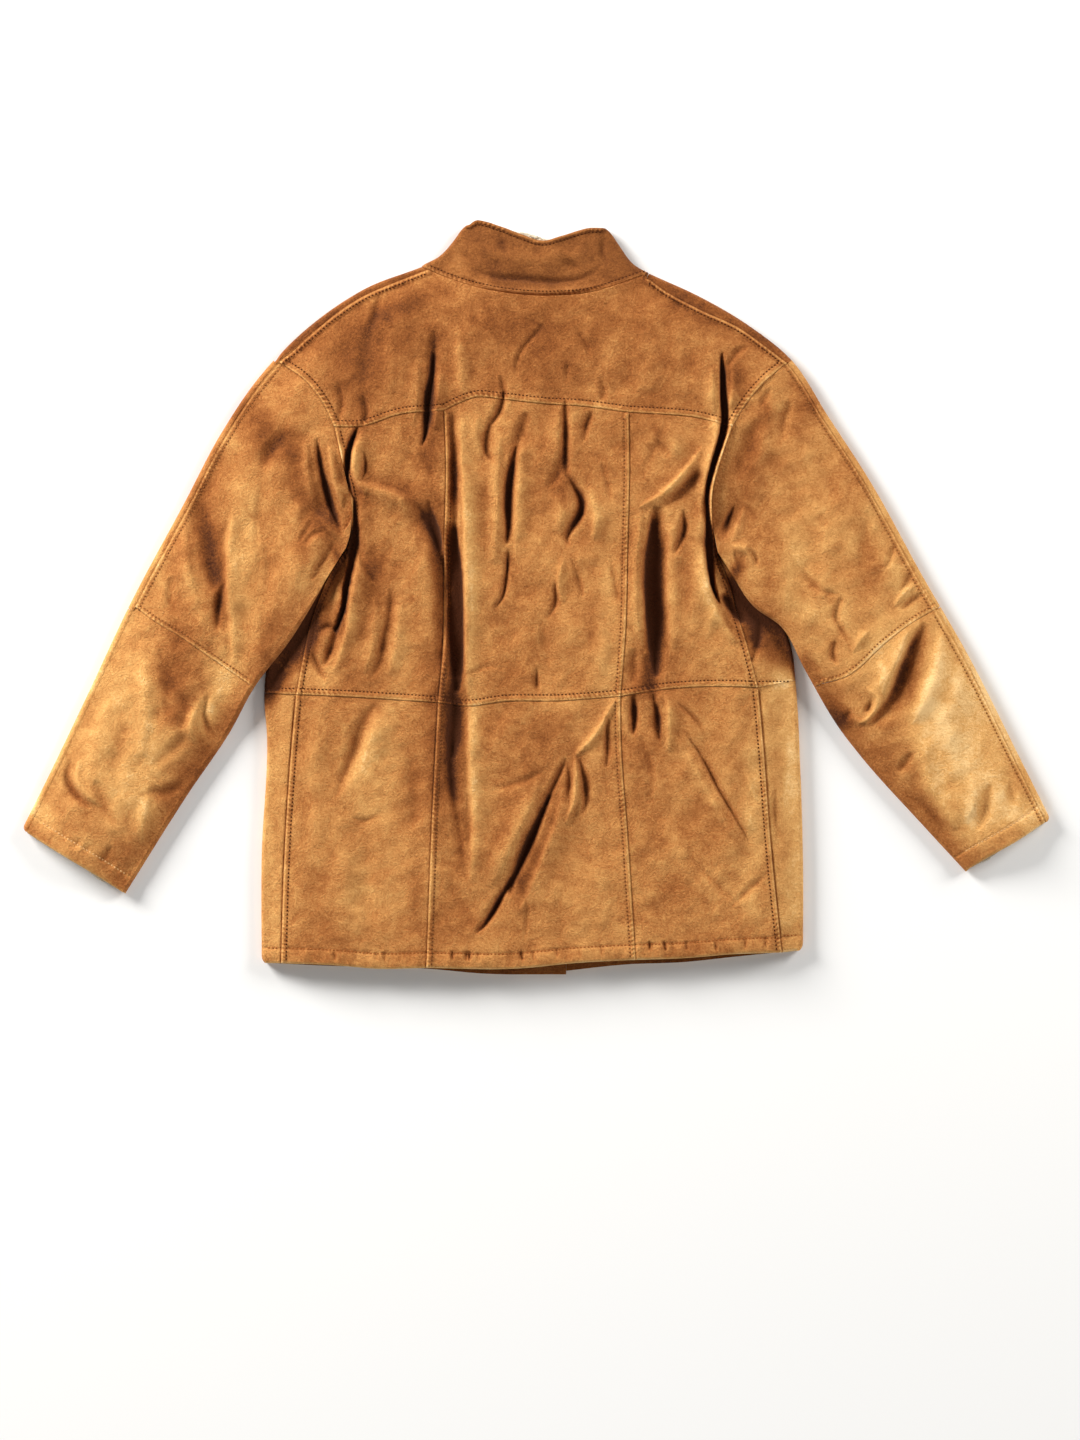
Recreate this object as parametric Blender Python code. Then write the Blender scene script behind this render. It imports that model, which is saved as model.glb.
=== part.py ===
"""A hip-length coat of suede-faced cloth with a fleece back, laid flat with its back up.

Frame: x runs across the coat, y from the hem to the collar, z up. The floor is z = 0 and the
origin is under the middle of the coat's outline. Sizes are in millimetres until a mesh is made.
The coat is a flattened tube: the front panels lie on the floor and turn up round both sides and
over the shoulders, and the back panels lie on them. Each sleeve is a smaller tube of the same
kind. Every cut piece is one wall of WALL millimetres, built as an open surface that is then
extruded inwards, upright at its seams so that neighbours stay 2 * HALF_SEAM apart.
"""

import math
from functools import partial

import bmesh
import bpy
import numpy as np

METRE = 0.001  # one millimetre, in metres
WALL = 4.6  # suede face and fleece together, pressed by the coat's own weight
HALF_SEAM = 0.15  # each piece stops this far short of its seam line
FOLD_R = 5.0  # outer radius of the cloth where it turns round an edge
EDGE_H = 2 * FOLD_R  # height of the coat at its outline, two walls and the air between
LOWEST_TOP = 2 * WALL + 0.7  # the back never presses through the front
BODY_CROWN = 2.5  # how much the back rises inside its outline
SLEEVE_CROWN = 3.2  # the same for a sleeve, which holds its round shape better
COLLAR_CROWN = 4.8  # the same for the collar, which is stiff and lined
CROWN_REACH = 28.0  # distance from the outline over which most of that rise happens
FADE_REACH = 14.0  # folds die out over this distance from the outline
FOLD_ENDS = 0.7  # a fold's rise along its path is a half sine to this power, so its ends are short
ARMHOLE_REACH = 90.0  # the sleeve's crown grows from the body's to its own over this distance
LAP = EDGE_H + 5.0  # a sleeve lies this high where it laps over the side of the body
LAP_FROM = 4.0  # it starts to come down this far beyond the body's outline
LAP_SLOPE = 42.0  # and reaches the floor over this distance
FRONT_EDGE_X = 33.0  # the two fronts meet here, under the coat
SEAM_IN = 1.6  # a seam that runs along an edge stays this far inside the turn of the cloth
FRONT_NECK_OUT = 0.62  # the front neck seam's middle point is this share of its width out
FRONT_NECK_UP = 12.0  # and this much higher than its centre
FRONT_DROP = 6.0  # the collar's front ends stop this far short of its back
FLEECE_WALL = 1.6  # the collar's lining, a thin fleece
LINING_GAP = 0.3  # between the collar and its lining
LINING_FROM = 3  # the lining starts this many faces in from each end of the collar's back
LINING_SHOWS = 3.0  # how far it reaches past the collar's upper edge
ARC_STEPS = 4  # faces round a folded edge
SHARP = math.radians(40)  # faces that meet at more than this keep a crisp edge
WELD = 0.05  # corners of neighbouring sheets closer than this are one corner
CURVE_STEPS = 240  # a curve through named points is first drawn this finely
OUTLINE_STEPS = 90  # and the outlines that the cloth turns round this finely
SEAM_STEPS = 60  # and the seams that other things are measured from this finely
PATH_STEPS = 12  # and a fold's path this finely

SUEDE = (0.51, 0.205, 0.067)
SUEDE_DARK = (0.40, 0.14, 0.040)
FLEECE = (0.80, 0.68, 0.48)

SIDES = ("left", "right")

# Faces along each seam, by name. Pieces on both sides of a seam have the same number, so a sleeve
# has as many across as its armhole has along it, upper and lower together.
CELLS = {
    "yoke left": 8,
    "yoke centre": 11,
    "yoke right": 7,
    "armhole upper": 3,
    "armhole lower": 4,
    "side upper": 4,
    "body lower": 10,
    "neck half": 2,
    "sleeve across": 7,
    "sleeve upper": 8,
    "sleeve lower": 8,
    "collar up": 4,
}

# Lines of the coat as it lies, by name: points from one end to the other, in millimetres.
# "left" is the side at -x. A line that is an outline is the cloth's outermost reach.
LINES = {
    "neck": [(-122, 367), (-99, 357), (-68, 347), (-24, 339), (18, 337), (61, 341), (93, 351),
             (120, 361)],
    "collar top": [(-78, 419), (-69, 422), (-46, 417), (-14, 405), (6, 399), (29, 405), (61, 414),
                   (76, 415)],
    "collar side left": [(-127, 373), (-110, 382), (-94, 399), (-80, 420)],
    "collar side right": [(126, 363), (108, 374), (93, 394), (78, 417)],
    "yoke seam left": [(-227, 190), (-199, 190), (-152, 204), (-104, 208)],
    "yoke seam centre": [(-104, 208), (-86, 217), (-68, 223), (-41, 221), (4, 216), (50, 213),
                         (103, 206)],
    "yoke seam right": [(103, 206), (140, 204), (175, 201), (219, 190)],
    "shoulder seam left": [(-291, 264), (-281, 270), (-257, 291), (-227, 316), (-195, 337),
                           (-163, 351), (-122, 367)],
    "shoulder seam right": [(281, 262), (256, 281), (228, 301), (183, 322), (144, 343),
                            (120, 361)],
    "armhole left upper": [(-227, 190), (-242, 220), (-260, 242), (-291, 264)],
    "armhole right upper": [(219, 190), (232, 212), (257, 242), (281, 262)],
    "armhole left lower": [(-214, 53), (-209, 71), (-208, 106), (-214, 133), (-227, 190)],
    "armhole right lower": [(203, 48), (197, 82), (197, 117), (207, 155), (219, 190)],
    "back seam left upper": [(-111, -119), (-107, -78), (-104, 60), (-102, 151), (-104, 208)],
    "back seam right upper": [(94, -112), (100, -32), (102, 60), (104, 151), (103, 206)],
    "back seam left lower": [(-124, -416), (-117, -236), (-111, -119)],
    "back seam right lower": [(111, -406), (103, -283), (94, -142), (94, -112)],
    "waist left": [(-270, -110), (-204, -113), (-157, -116), (-111, -119)],
    "waist centre": [(-111, -119), (-76, -123), (-39, -118), (26, -117), (94, -112)],
    "waist right": [(94, -112), (145, -104), (192, -101), (248, -102)],
    "side seam left upper": [(-270, -110), (-262, -66), (-255, -32), (-245, -2), (-230, 30),
                             (-214, 53)],
    "side seam right upper": [(248, -102), (236, -54), (226, -21), (217, 14), (203, 48)],
    "side seam left lower": [(-287, -411), (-284, -306), (-275, -165), (-270, -110)],
    "side seam right lower": [(275, -396), (263, -283), (252, -142), (248, -102)],
    "hem left": [(-287, -411), (-227, -413), (-180, -417), (-124, -416)],
    "hem centre": [(-124, -416), (-27, -416), (51, -408), (111, -406)],
    "hem right": [(111, -406), (168, -404), (215, -398), (275, -396)],
    "front hem left": [(-303, -411), (-243, -414), (-118, -417), (-62, -421), (33, -423)],
    "front hem right": [(33, -416), (98, -410), (168, -407), (215, -402), (293, -394)],
    "body outline left": [(-309, -411), (-309, -292), (-303, -158), (-306, -104), (-298, -58),
                          (-280, -22), (-257, 14), (-229, 60)],
    "body outline right": [(299, -394), (299, -300), (296, -194), (291, -100), (286, -58),
                           (268, -14), (244, 18), (216, 56)],
    "outer outline left": [(-127, 373), (-195, 346), (-257, 303), (-313, 245), (-356, 181),
                           (-395, 107), (-456, -7), (-504, -109), (-553, -211), (-577, -256)],
    "outer outline right": [(126, 363), (183, 337), (239, 304), (285, 267), (327, 203), (373, 132),
                            (434, 22), (483, -63), (543, -182), (576, -248)],
    "inner outline left": [(-212, 66), (-222, 47), (-246, 1), (-273, -44), (-318, -104),
                           (-344, -151), (-390, -219), (-462, -333)],
    "inner outline right": [(201, 62), (212, 40), (243, -11), (274, -34), (300, -81), (342, -151),
                            (363, -178), (434, -257), (482, -309)],
    "elbow left": [(-451, -11), (-431, -26), (-400, -45), (-358, -74), (-320, -100)],
    "elbow right": [(450, -12), (415, -33), (392, -51), (344, -91), (318, -98)],
    "cuff left": [(-571, -258), (-516, -301), (-464, -329)],
    "cuff right": [(570, -251), (519, -286), (481, -303)],
}

# The largest folds: where, path, rise (below 0 a trough), and how far it spreads to the left
# and to the right of its path, walking from the first point to the last, all in millimetres.
FOLDS = [
    ("collar", [(-76, 362), (-33, 359), (-3, 354), (25, 353), (60, 360)], -2.5, 8, 6),
    ("collar", [(-60, 392), (0, 382), (60, 390)], 1, 16, 16),
    ("body", [(-230, 170), (-222, 120), (-220, 70), (-226, 30)], 6, 9, 12),
    ("body", [(-203, 190), (-208, 150), (-203, 115), (-204, 70), (-212, 15), (-220, -28)], -9, 12, 7),
    ("body", [(-186, 150), (-182, 90), (-188, 20), (-206, -70)], 11, 20, 22),
    ("body", [(-205, 125), (-165, 96), (-120, 64)], 9, 18, 24),
    ("body", [(-124, 96), (-116, 62), (-112, 10)], -7, 12, 14),
    ("body", [(-130, 20), (-134, -40), (-128, -95)], 6, 16, 22),
    ("body", [(-100, 190), (-98, 60), (-100, -95)], -9, 8, 9),
    ("body", [(-82, 205), (-78, 150), (-74, 60), (-76, -20), (-74, -100)], 16, 12, 30),
    ("body", [(-26, 160), (-31, 117), (-33, 60), (-38, 8), (-52, -20)], -8, 14, 14),
    ("body", [(-2, 170), (6, 80), (0, -20)], 11, 20, 22),
    ("body", [(34, 160), (50, 101), (38, 78)], -8, 12, 14),
    ("body", [(76, 180), (82, 60), (78, -70)], 12, 20, 22),
    ("body", [(140, 190), (129, 87), (126, 14), (128, -78)], -10, 16, 16),
    ("body", [(172, 180), (164, 80), (160, 0), (170, -80)], 13, 20, 22),
    ("body", [(208, 250), (206, 190), (199, 117), (193, 82), (198, 20)], -9, 10, 8),
    ("body", [(-146, 280), (-146, 220)], 6, 12, 14),
    ("body", [(-122, 256), (-120, 205), (-128, 168)], -8, 10, 10),
    ("body", [(-104, 270), (-104, 206)], 7, 10, 14),
    ("body", [(0, 300), (-16, 262), (-26, 226)], 5, 16, 16),
    ("body", [(60, 290), (70, 230)], 4, 18, 18),
    ("body", [(186, 270), (184, 212)], 6, 12, 20),
    ("body", [(208, 266), (207, 215)], -7, 14, 18),
    ("body", [(24, -204), (6, -244), (-12, -284), (-38, -330), (-72, -380)], -9, 16, 10),
    ("body", [(50, -200), (28, -270), (2, -320), (-28, -366)], 13, 20, 24),
    ("body", [(-10, -180), (-34, -250), (-66, -320)], 9, 20, 22),
    ("body", [(-96, -124), (-100, -200)], -6, 12, 12),
    ("body", [(106, -120), (106, -150)], -6, 8, 8),
    ("body", [(150, -130), (186, -184), (210, -236), (230, -290)], 7, 26, 26),
    ("body", [(130, -250), (150, -320), (180, -370)], 6, 24, 24),
    ("body", [(-190, -130), (-200, -250), (-196, -350)], 6, 34, 40),
    ("left sleeve", [(-346, 170), (-336, 90), (-330, 10), (-340, -60)], 8, 20, 26),
    ("left sleeve", [(-384, 127), (-369, 59), (-352, -38)], -7, 18, 16),
    ("left sleeve", [(-262, 180), (-250, 110), (-262, 30), (-290, -50)], 7, 22, 22),
    ("left sleeve", [(-246, 164), (-226, 86), (-217, 58)], -6, 12, 12),
    ("left sleeve", [(-470, -100), (-500, -170), (-530, -230)], 6, 20, 20),
    ("left sleeve", [(-390, -110), (-430, -190), (-470, -270)], 7, 24, 24),
    ("left sleeve", [(-524, -189), (-525, -206), (-506, -234)], -6, 14, 16),
    ("right sleeve", [(300, 200), (320, 120), (350, 30), (360, -40)], 8, 26, 26),
    ("right sleeve", [(250, 150), (250, 80), (290, 10)], 6, 20, 20),
    ("right sleeve", [(429, -31), (419, -55), (407, -87), (378, -136)], -8, 18, 14),
    ("right sleeve", [(450, -60), (470, -130), (510, -220)], 8, 22, 20),
    ("right sleeve", [(376, -120), (410, -180), (460, -260)], 7, 22, 24),
]


def smooth(points, steps):
    """A curve through the points, at steps + 1 places equally spaced along it."""
    p = np.array(points, float)
    chord = np.concatenate([[0], np.cumsum(np.linalg.norm(np.diff(p, axis=0), axis=1))])
    straight_on = np.diff(p, axis=0).repeat(2, 0) / chord[-1]
    slope = np.gradient(p, chord, axis=0) if len(p) > 2 else straight_on
    t = np.linspace(0, chord[-1], CURVE_STEPS + 1)
    i = np.clip(np.searchsorted(chord, t, "right") - 1, 0, len(p) - 2)
    span = (chord[i + 1] - chord[i])[:, None]
    u = (t - chord[i])[:, None] / span
    fine = ((1 + 2 * u) * (1 - u) ** 2 * p[i] + u * (1 - u) ** 2 * span * slope[i]
            + u * u * (3 - 2 * u) * p[i + 1] + u * u * (u - 1) * span * slope[i + 1])
    along = np.concatenate([[0], np.cumsum(np.linalg.norm(np.diff(fine, axis=0), axis=1))])
    at = np.linspace(0, along[-1], steps + 1)
    return np.stack([np.interp(at, along, fine[:, k]) for k in (0, 1)], axis=1)


def nearest(line, points):
    """For each point: the nearest place on the line, its distance, and how far along it is, 0 to 1.

    The distance is above 0 to the left of the line's direction.
    """
    d = np.diff(line, axis=0)
    long = np.linalg.norm(d, axis=1)
    rel = points[..., None, :] - line[:-1]
    t = np.clip((rel * d).sum(-1) / long**2, 0, 1)
    off = rel - t[..., None] * d
    far = np.linalg.norm(off, axis=-1)
    k = far.argmin(-1)
    pick = (*np.indices(k.shape), k)
    side = np.sign(d[k, 0] * off[pick][..., 1] - d[k, 1] * off[pick][..., 0])
    along = (np.concatenate([[0], np.cumsum(long)])[k] + t[pick] * long[k]) / long.sum()
    return points - off[pick], far[pick] * side, along


def moved(line, by):
    """The line moved to its left by a distance."""
    run = np.gradient(line, axis=0)
    run /= np.linalg.norm(run, axis=1)[:, None]
    return line + by * np.stack([-run[:, 1], run[:, 0]], axis=1)


def inwards(name, line, by):
    """A line that runs along an outline, moved towards the coat's inside."""
    outside_is_left = ("body outline left", "inner outline left", "collar side left",
                       "outer outline right")
    return moved(line, -by if name in outside_is_left else by)


FOLD_LINES = {name: inwards(name, smooth(points, OUTLINE_STEPS), FOLD_R)
              for name, points in LINES.items() if "outline" in name or "collar side" in name}


def kept_in(name, points):
    """The points, with those less than SEAM_IN inside an outline's fold line moved in that far."""
    limit = inwards(name, FOLD_LINES[name], SEAM_IN)
    place, off, _ = nearest(limit, points)
    centre = nearest(limit, np.zeros(2))[1]
    return np.where((off * centre > 0)[:, None], points, place)


def folds(where, points, from_edge):
    """The folds of one part of the coat added up, as a height at each point; none at the outline."""
    height = np.zeros(points.shape[:-1])
    for part, path, rise, left, right in FOLDS:
        if part == where:
            _, off, along = nearest(smooth(path, PATH_STEPS), points)
            across = np.exp(-((off / np.where(off > 0, left, right)) ** 2))
            height += rise * np.abs(np.sin(math.pi * along)) ** FOLD_ENDS * across
    return height * (1 - np.exp(-((from_edge / FADE_REACH) ** 2)))


def crown(rise, from_edge):
    """Height gained by the cloth at a distance from the outline."""
    return rise * (1 - np.exp(-from_edge / CROWN_REACH))


def ease(x):
    """0 below 0, 1 above 1, and smooth between."""
    x = np.clip(x, 0, 1)
    return x * x * (3 - 2 * x)


def distance(names, points):
    """Distance from the nearest of the named fold lines."""
    return np.min([np.abs(nearest(FOLD_LINES[name], points)[1]) for name in names], axis=0)


def back_height(points):
    """Height of the back's upper face."""
    outlines = [f"{kind} outline {side}" for kind in ("body", "outer") for side in SIDES]
    from_edge = distance(outlines, points)
    height = EDGE_H + crown(BODY_CROWN, from_edge) + folds("body", points, from_edge)
    return np.maximum(height, LOWEST_TOP)


def floor(points):
    """Height of the front's lower face: it lies on the floor."""
    return np.zeros(points.shape[:-1])


def lap(side, points):
    """Height at which a sleeve's lower face lies: on the floor, or over the side of the body."""
    outwards = {"left": 1, "right": -1}[side]
    beyond = nearest(FOLD_LINES[f"body outline {side}"], points)[1] * outwards - FOLD_R
    return LAP * (1 - ease((beyond - LAP_FROM) / LAP_SLOPE))


def sleeve_height(side, points):
    """Height of a sleeve's upper face."""
    from_edge = distance([f"outer outline {side}", f"inner outline {side}"], points)
    armhole = smooth(LINES[f"armhole {side} lower"] + LINES[f"armhole {side} upper"][1:], SEAM_STEPS)
    down = ease(np.abs(nearest(armhole, points)[1]) / ARMHOLE_REACH)
    rise = BODY_CROWN + (SLEEVE_CROWN - BODY_CROWN) * down
    shape = crown(rise, from_edge) + folds(f"{side} sleeve", points, from_edge)
    return EDGE_H + lap(side, points) + np.maximum(shape, LOWEST_TOP - EDGE_H)


def collar_height(points):
    """Height of the collar's upper face."""
    ends = [f"{kind} {side}" for kind in ("collar side", "outer outline") for side in SIDES]
    from_edge = distance(ends, points)
    return EDGE_H + crown(COLLAR_CROWN, from_edge) + folds("collar", points, from_edge)


def join(*lines):
    """Lines end to end, each one's first point left out where it repeats the last."""
    return np.concatenate([lines[0], *(line[1:] for line in lines[1:])])


def share(line):
    """How far along a line each of its points is, from 0 to 1."""
    along = np.concatenate([[0], np.cumsum(np.linalg.norm(np.diff(line, axis=0), axis=1))])
    return along / along[-1]


def patch(low, high, left, right):
    """The points of a four-sided sheet between its edges, [row][column], by a Coons blend.

    low and high run from left to right, left and right from low to high.
    """
    u = ((share(low) + share(high)) / 2)[None, :, None]
    v = ((share(left) + share(right)) / 2)[:, None, None]
    corners = (1 - v) * ((1 - u) * low[0] + u * low[-1]) + v * ((1 - u) * high[0] + u * high[-1])
    return (1 - v) * low[None] + v * high[None] + (1 - u) * left[:, None] + u * right[:, None] - corners


def drawn_in(grid, edges):
    """The grid with the named edges moved in by HALF_SEAM."""
    out = grid.copy()
    views = {"low": (grid[0], grid[1], out[0]), "high": (grid[-1], grid[-2], out[-1]),
             "left": (grid[:, 0], grid[:, 1], out[:, 0]), "right": (grid[:, -1], grid[:, -2], out[:, -1])}
    for name in edges:
        edge, next_in, moving = views[name]
        run = np.gradient(edge, axis=0)
        normal = np.stack([-run[:, 1], run[:, 0]], axis=1) / np.linalg.norm(run, axis=1)[:, None]
        moving += HALF_SEAM * normal * np.sign((normal * (next_in - edge)).sum(1))[:, None]
    return out


def top_sheet(grid, height):
    """Outer and inner faces of a sheet that lies uppermost: its wall goes straight down."""
    z = height(grid)
    return np.dstack([grid, z]), np.dstack([grid, z - WALL])


def floor_sheet(grid, lies_at):
    """Outer and inner faces of a sheet that lies underneath: its wall goes straight up."""
    z = lies_at(grid)
    return np.dstack([grid, z]), np.dstack([grid, z + WALL])


def turn(fold, inside, lies_at, start=0.0):
    """Outer and inner faces of the cloth where it turns round an edge, in a half circle.

    fold is the line where the turn starts underneath, and inside holds a point further in for
    each of its points. start moves the first row round the turn, in millimetres.
    """
    out = (fold - inside) / np.linalg.norm(fold - inside, axis=1)[:, None]
    low = lies_at(fold)
    angles = np.linspace(0, math.pi, ARC_STEPS + 1)
    angles[0] = start / FOLD_R
    faces = []
    for radius in (FOLD_R, FOLD_R - WALL):
        rows = [np.column_stack([fold + out * radius * math.sin(a), low + FOLD_R - radius * math.cos(a)])
                for a in angles]
        faces.append(np.stack(rows, axis=1))
    return faces


def turn_and_strip(fold, seam, lies_at, height):
    """The same turn, and the strip on top that runs on from it to a seam."""
    outer, inner = turn(fold, seam, lies_at)
    out = (fold - seam) / np.linalg.norm(fold - seam, axis=1)[:, None]
    end = seam + out * HALF_SEAM
    z = height(end)
    outer = np.concatenate([outer, np.column_stack([end, z])[:, None]], axis=1)
    inner = np.concatenate([inner, np.column_stack([end, z - WALL])[:, None]], axis=1)
    return outer, inner


def material(name, colour, roughness):
    """A matte finish of one colour."""
    made = bpy.data.materials.new(name)
    made.use_nodes = True
    shader = made.node_tree.nodes["Principled BSDF"]
    shader.inputs["Base Color"].default_value = (*colour, 1)
    shader.inputs["Roughness"].default_value = roughness
    shader.inputs["Metallic"].default_value = 0
    made.diffuse_color = (*colour, 1)
    return made


def piece(name, sheets, finish):
    """One closed wall from sheets that share edges; a sheet is its outer and its inner points.

    The outer faces are welded into one open surface and extruded, and each new corner then goes
    to its own place on the inner faces.
    """
    mesh = bpy.data.meshes.new(name)
    bm = bmesh.new()
    number = bm.verts.layers.int.new("number")
    inside = []
    for outer, inner in sheets:
        rows, columns = outer.shape[:2]
        corners = np.empty((rows, columns), object)
        for r, c in np.ndindex(rows, columns):
            corners[r, c] = bm.verts.new(outer[r, c] * METRE)
            corners[r, c][number] = len(inside)
            inside.append(inner[r, c] * METRE)
        for r, c in np.ndindex(rows - 1, columns - 1):
            bm.faces.new((corners[r, c], corners[r, c + 1], corners[r + 1, c + 1], corners[r + 1, c]))
    bmesh.ops.remove_doubles(bm, verts=bm.verts, dist=WELD * METRE)
    bmesh.ops.recalc_face_normals(bm, faces=bm.faces)
    for corner in bmesh.ops.extrude_face_region(bm, geom=list(bm.faces))["geom"]:
        if isinstance(corner, bmesh.types.BMVert):
            corner.co = inside[corner[number]]
    bmesh.ops.recalc_face_normals(bm, faces=bm.faces)
    if bm.calc_volume(signed=True) < 0:
        bmesh.ops.reverse_faces(bm, faces=bm.faces)
    bmesh.ops.triangulate(bm, faces=bm.faces)
    bm.to_mesh(mesh)
    bm.free()
    made = bpy.data.objects.new(name, mesh)
    COAT.objects.link(made)
    mesh.materials.append(finish)
    mesh.shade_smooth()
    mesh.set_sharp_from_angle(angle=SHARP)


def line(name, cells):
    """A named line at the corners of a number of faces, which is given or named in CELLS."""
    return smooth(LINES[name], CELLS.get(cells, cells))


def shortened(points, start=False, end=False):
    """The line with its first or last point moved along it by HALF_SEAM."""
    out = points.copy()
    for moves, tip, next_in in ((start, 0, 1), (end, -1, -2)):
        if moves:
            run = points[next_in] - points[tip]
            out[tip] += HALF_SEAM * run / np.linalg.norm(run)
    return out


def on_fold(name, points):
    """The places on a fold line nearest to the points."""
    return nearest(FOLD_LINES[name], points)[0]


def stretch(name, first, last, cells, by=0.0):
    """The part of a fold line between the places nearest to two points, moved inwards."""
    fold = FOLD_LINES[name]
    start, end = (nearest(fold, np.array(point, float))[2] for point in (first, last))
    at = np.linspace(start, end, cells + 1)
    line_in = inwards(name, fold, by)
    return np.stack([np.interp(at, share(fold), line_in[:, k]) for k in (0, 1)], axis=1)


def straight(first, last, cells):
    """The corners of a number of faces along a straight line."""
    t = np.linspace(0, 1, cells + 1)[:, None]
    return (1 - t) * np.array(first, float) + t * np.array(last, float)


def back_piece(name, low, high, left, right, seams):
    """One panel of the back, between its four edges, short of the named ones where it is sewn."""
    grid = drawn_in(patch(low, high, left, right), seams)
    piece(name, [top_sheet(grid, back_height)], SUEDE_FINISH)


for old in list(bpy.data.objects):
    bpy.data.objects.remove(old)
COAT = bpy.data.collections.new("Coat")
bpy.context.scene.collection.children.link(COAT)
SUEDE_FINISH = material("suede", SUEDE, 0.85)
DARK_FINISH = material("suede collar", SUEDE_DARK, 0.85)
FLEECE_FINISH = material("fleece", FLEECE, 0.95)

# The back: a yoke, and three panels above and three below the waist seam.
shoulder = {side: kept_in(f"outer outline {side}", line(f"shoulder seam {side}", f"yoke {side}"))
            for side in SIDES}
armhole_upper = {side: line(f"armhole {side} upper", "armhole upper") for side in SIDES}
for side in SIDES:
    limit = inwards(f"outer outline {side}", FOLD_LINES[f"outer outline {side}"], SEAM_IN)
    shoulder[side][0] = armhole_upper[side][-1] = nearest(limit, shoulder[side][0])[0]
armhole_lower = {side: line(f"armhole {side} lower", "armhole lower") for side in SIDES}
side_upper = {side: line(f"side seam {side} upper", "side upper") for side in SIDES}
side_lower = {side: line(f"side seam {side} lower", "body lower") for side in SIDES}
upper_rows = CELLS["side upper"] + CELLS["armhole lower"]
uprights = [
    (join(side_upper["left"], armhole_lower["left"]), side_lower["left"]),
    (line("back seam left upper", upper_rows), line("back seam left lower", "body lower")),
    (line("back seam right upper", upper_rows), line("back seam right lower", "body lower")),
    (join(side_upper["right"], armhole_lower["right"]), side_lower["right"]),
]
yoke_seam = {part: line(f"yoke seam {part}", f"yoke {part}") for part in ("left", "centre", "right")}
neck = line("neck", "yoke centre")
neck[0], neck[-1] = shoulder["left"][-1], shoulder["right"][-1]
back_piece("yoke", join(*yoke_seam.values()), join(shoulder["left"], neck, shoulder["right"][::-1]),
           armhole_upper["left"], armhole_upper["right"], ("low", "high", "left", "right"))
for part, left, right in zip(yoke_seam, uprights[:-1], uprights[1:]):
    waist = line(f"waist {part}", f"yoke {part}")
    hem = line(f"hem {part}", f"yoke {part}")
    back_piece(f"back_upper_{part}", waist, yoke_seam[part], left[0], right[0],
               ("low", "high", "left", "right"))
    back_piece(f"back_lower_{part}", hem, waist, left[1], right[1], ("high", "left", "right"))

# The fronts: each lies on the floor, turns up round the side of the body as far as the side
# seam, and above the armhole turns over the shoulder as far as the shoulder seam.
neck_y = min(y for _, y in LINES["neck"])
front_neck = {}
fold_over_ends = {}
for side in SIDES:
    fold_up = on_fold(f"body outline {side}", side_upper[side])
    fold_low = on_fold(f"body outline {side}", side_lower[side])
    fold_over = on_fold(f"outer outline {side}", shoulder[side])
    across = CELLS[f"yoke {side}"] + CELLS["neck half"]
    waist = straight(fold_up[0], (FRONT_EDGE_X, LINES[f"waist {side}"][0][1]), across)
    hem = straight(fold_low[0], (FRONT_EDGE_X, LINES[f"front hem {side}"][1][1]), across)
    hem_line = smooth(LINES[f"front hem {side}"], SEAM_STEPS)
    order = np.argsort(hem_line[:, 0])
    hem[:, 1] = np.interp(hem[:, 0], hem_line[order, 0], hem_line[order, 1])
    armhole = join(armhole_lower[side], armhole_upper[side])
    armhole[0], armhole[-1] = fold_up[-1], fold_over[0]
    fold_over_ends[side] = fold_over[-1]
    between = (FRONT_NECK_OUT * fold_over[-1][0], neck_y + FRONT_NECK_UP)
    front_neck[side] = smooth([fold_over[-1], between, (FRONT_EDGE_X, neck_y)], CELLS["neck half"])
    centre_low = straight(hem[-1], waist[-1], CELLS["body lower"])
    centre_up = straight(waist[-1], front_neck[side][-1], upper_rows + CELLS["armhole upper"])

    under = drawn_in(patch(hem, waist, fold_low, centre_low), ("high", "right"))
    strip = turn_and_strip(under[:, 0], shortened(side_lower[side], end=True), floor, back_height)
    piece(f"front_lower_{side}", [floor_sheet(under, floor), strip], SUEDE_FINISH)

    bare = patch(waist, join(fold_over, front_neck[side]), join(fold_up, armhole), centre_up)
    under = drawn_in(bare, ("low", "right"))
    turned, over = len(fold_up), len(fold_over)
    under[turned - 1:, 0] = drawn_in(under, ("left",))[turned - 1:, 0]
    under[-1, over - 1:] = drawn_in(under, ("high",))[-1, over - 1:]
    under[0, 0], under[turned - 1, 0] = shortened(fold_up, start=True, end=True)[[0, -1]]
    under[-1, 0], under[-1, over - 1] = shortened(fold_over, start=True, end=True)[[0, -1]]
    side_seam, shoulder_seam = (shortened(seam[side], start=True, end=True)
                                for seam in (side_upper, shoulder))
    side_strip = turn_and_strip(under[:turned, 0], side_seam, floor, back_height)
    shoulder_strip = turn_and_strip(under[-1, :over], shoulder_seam, floor, back_height)
    piece(f"front_upper_{side}", [floor_sheet(under, floor), side_strip, shoulder_strip], SUEDE_FINISH)

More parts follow.
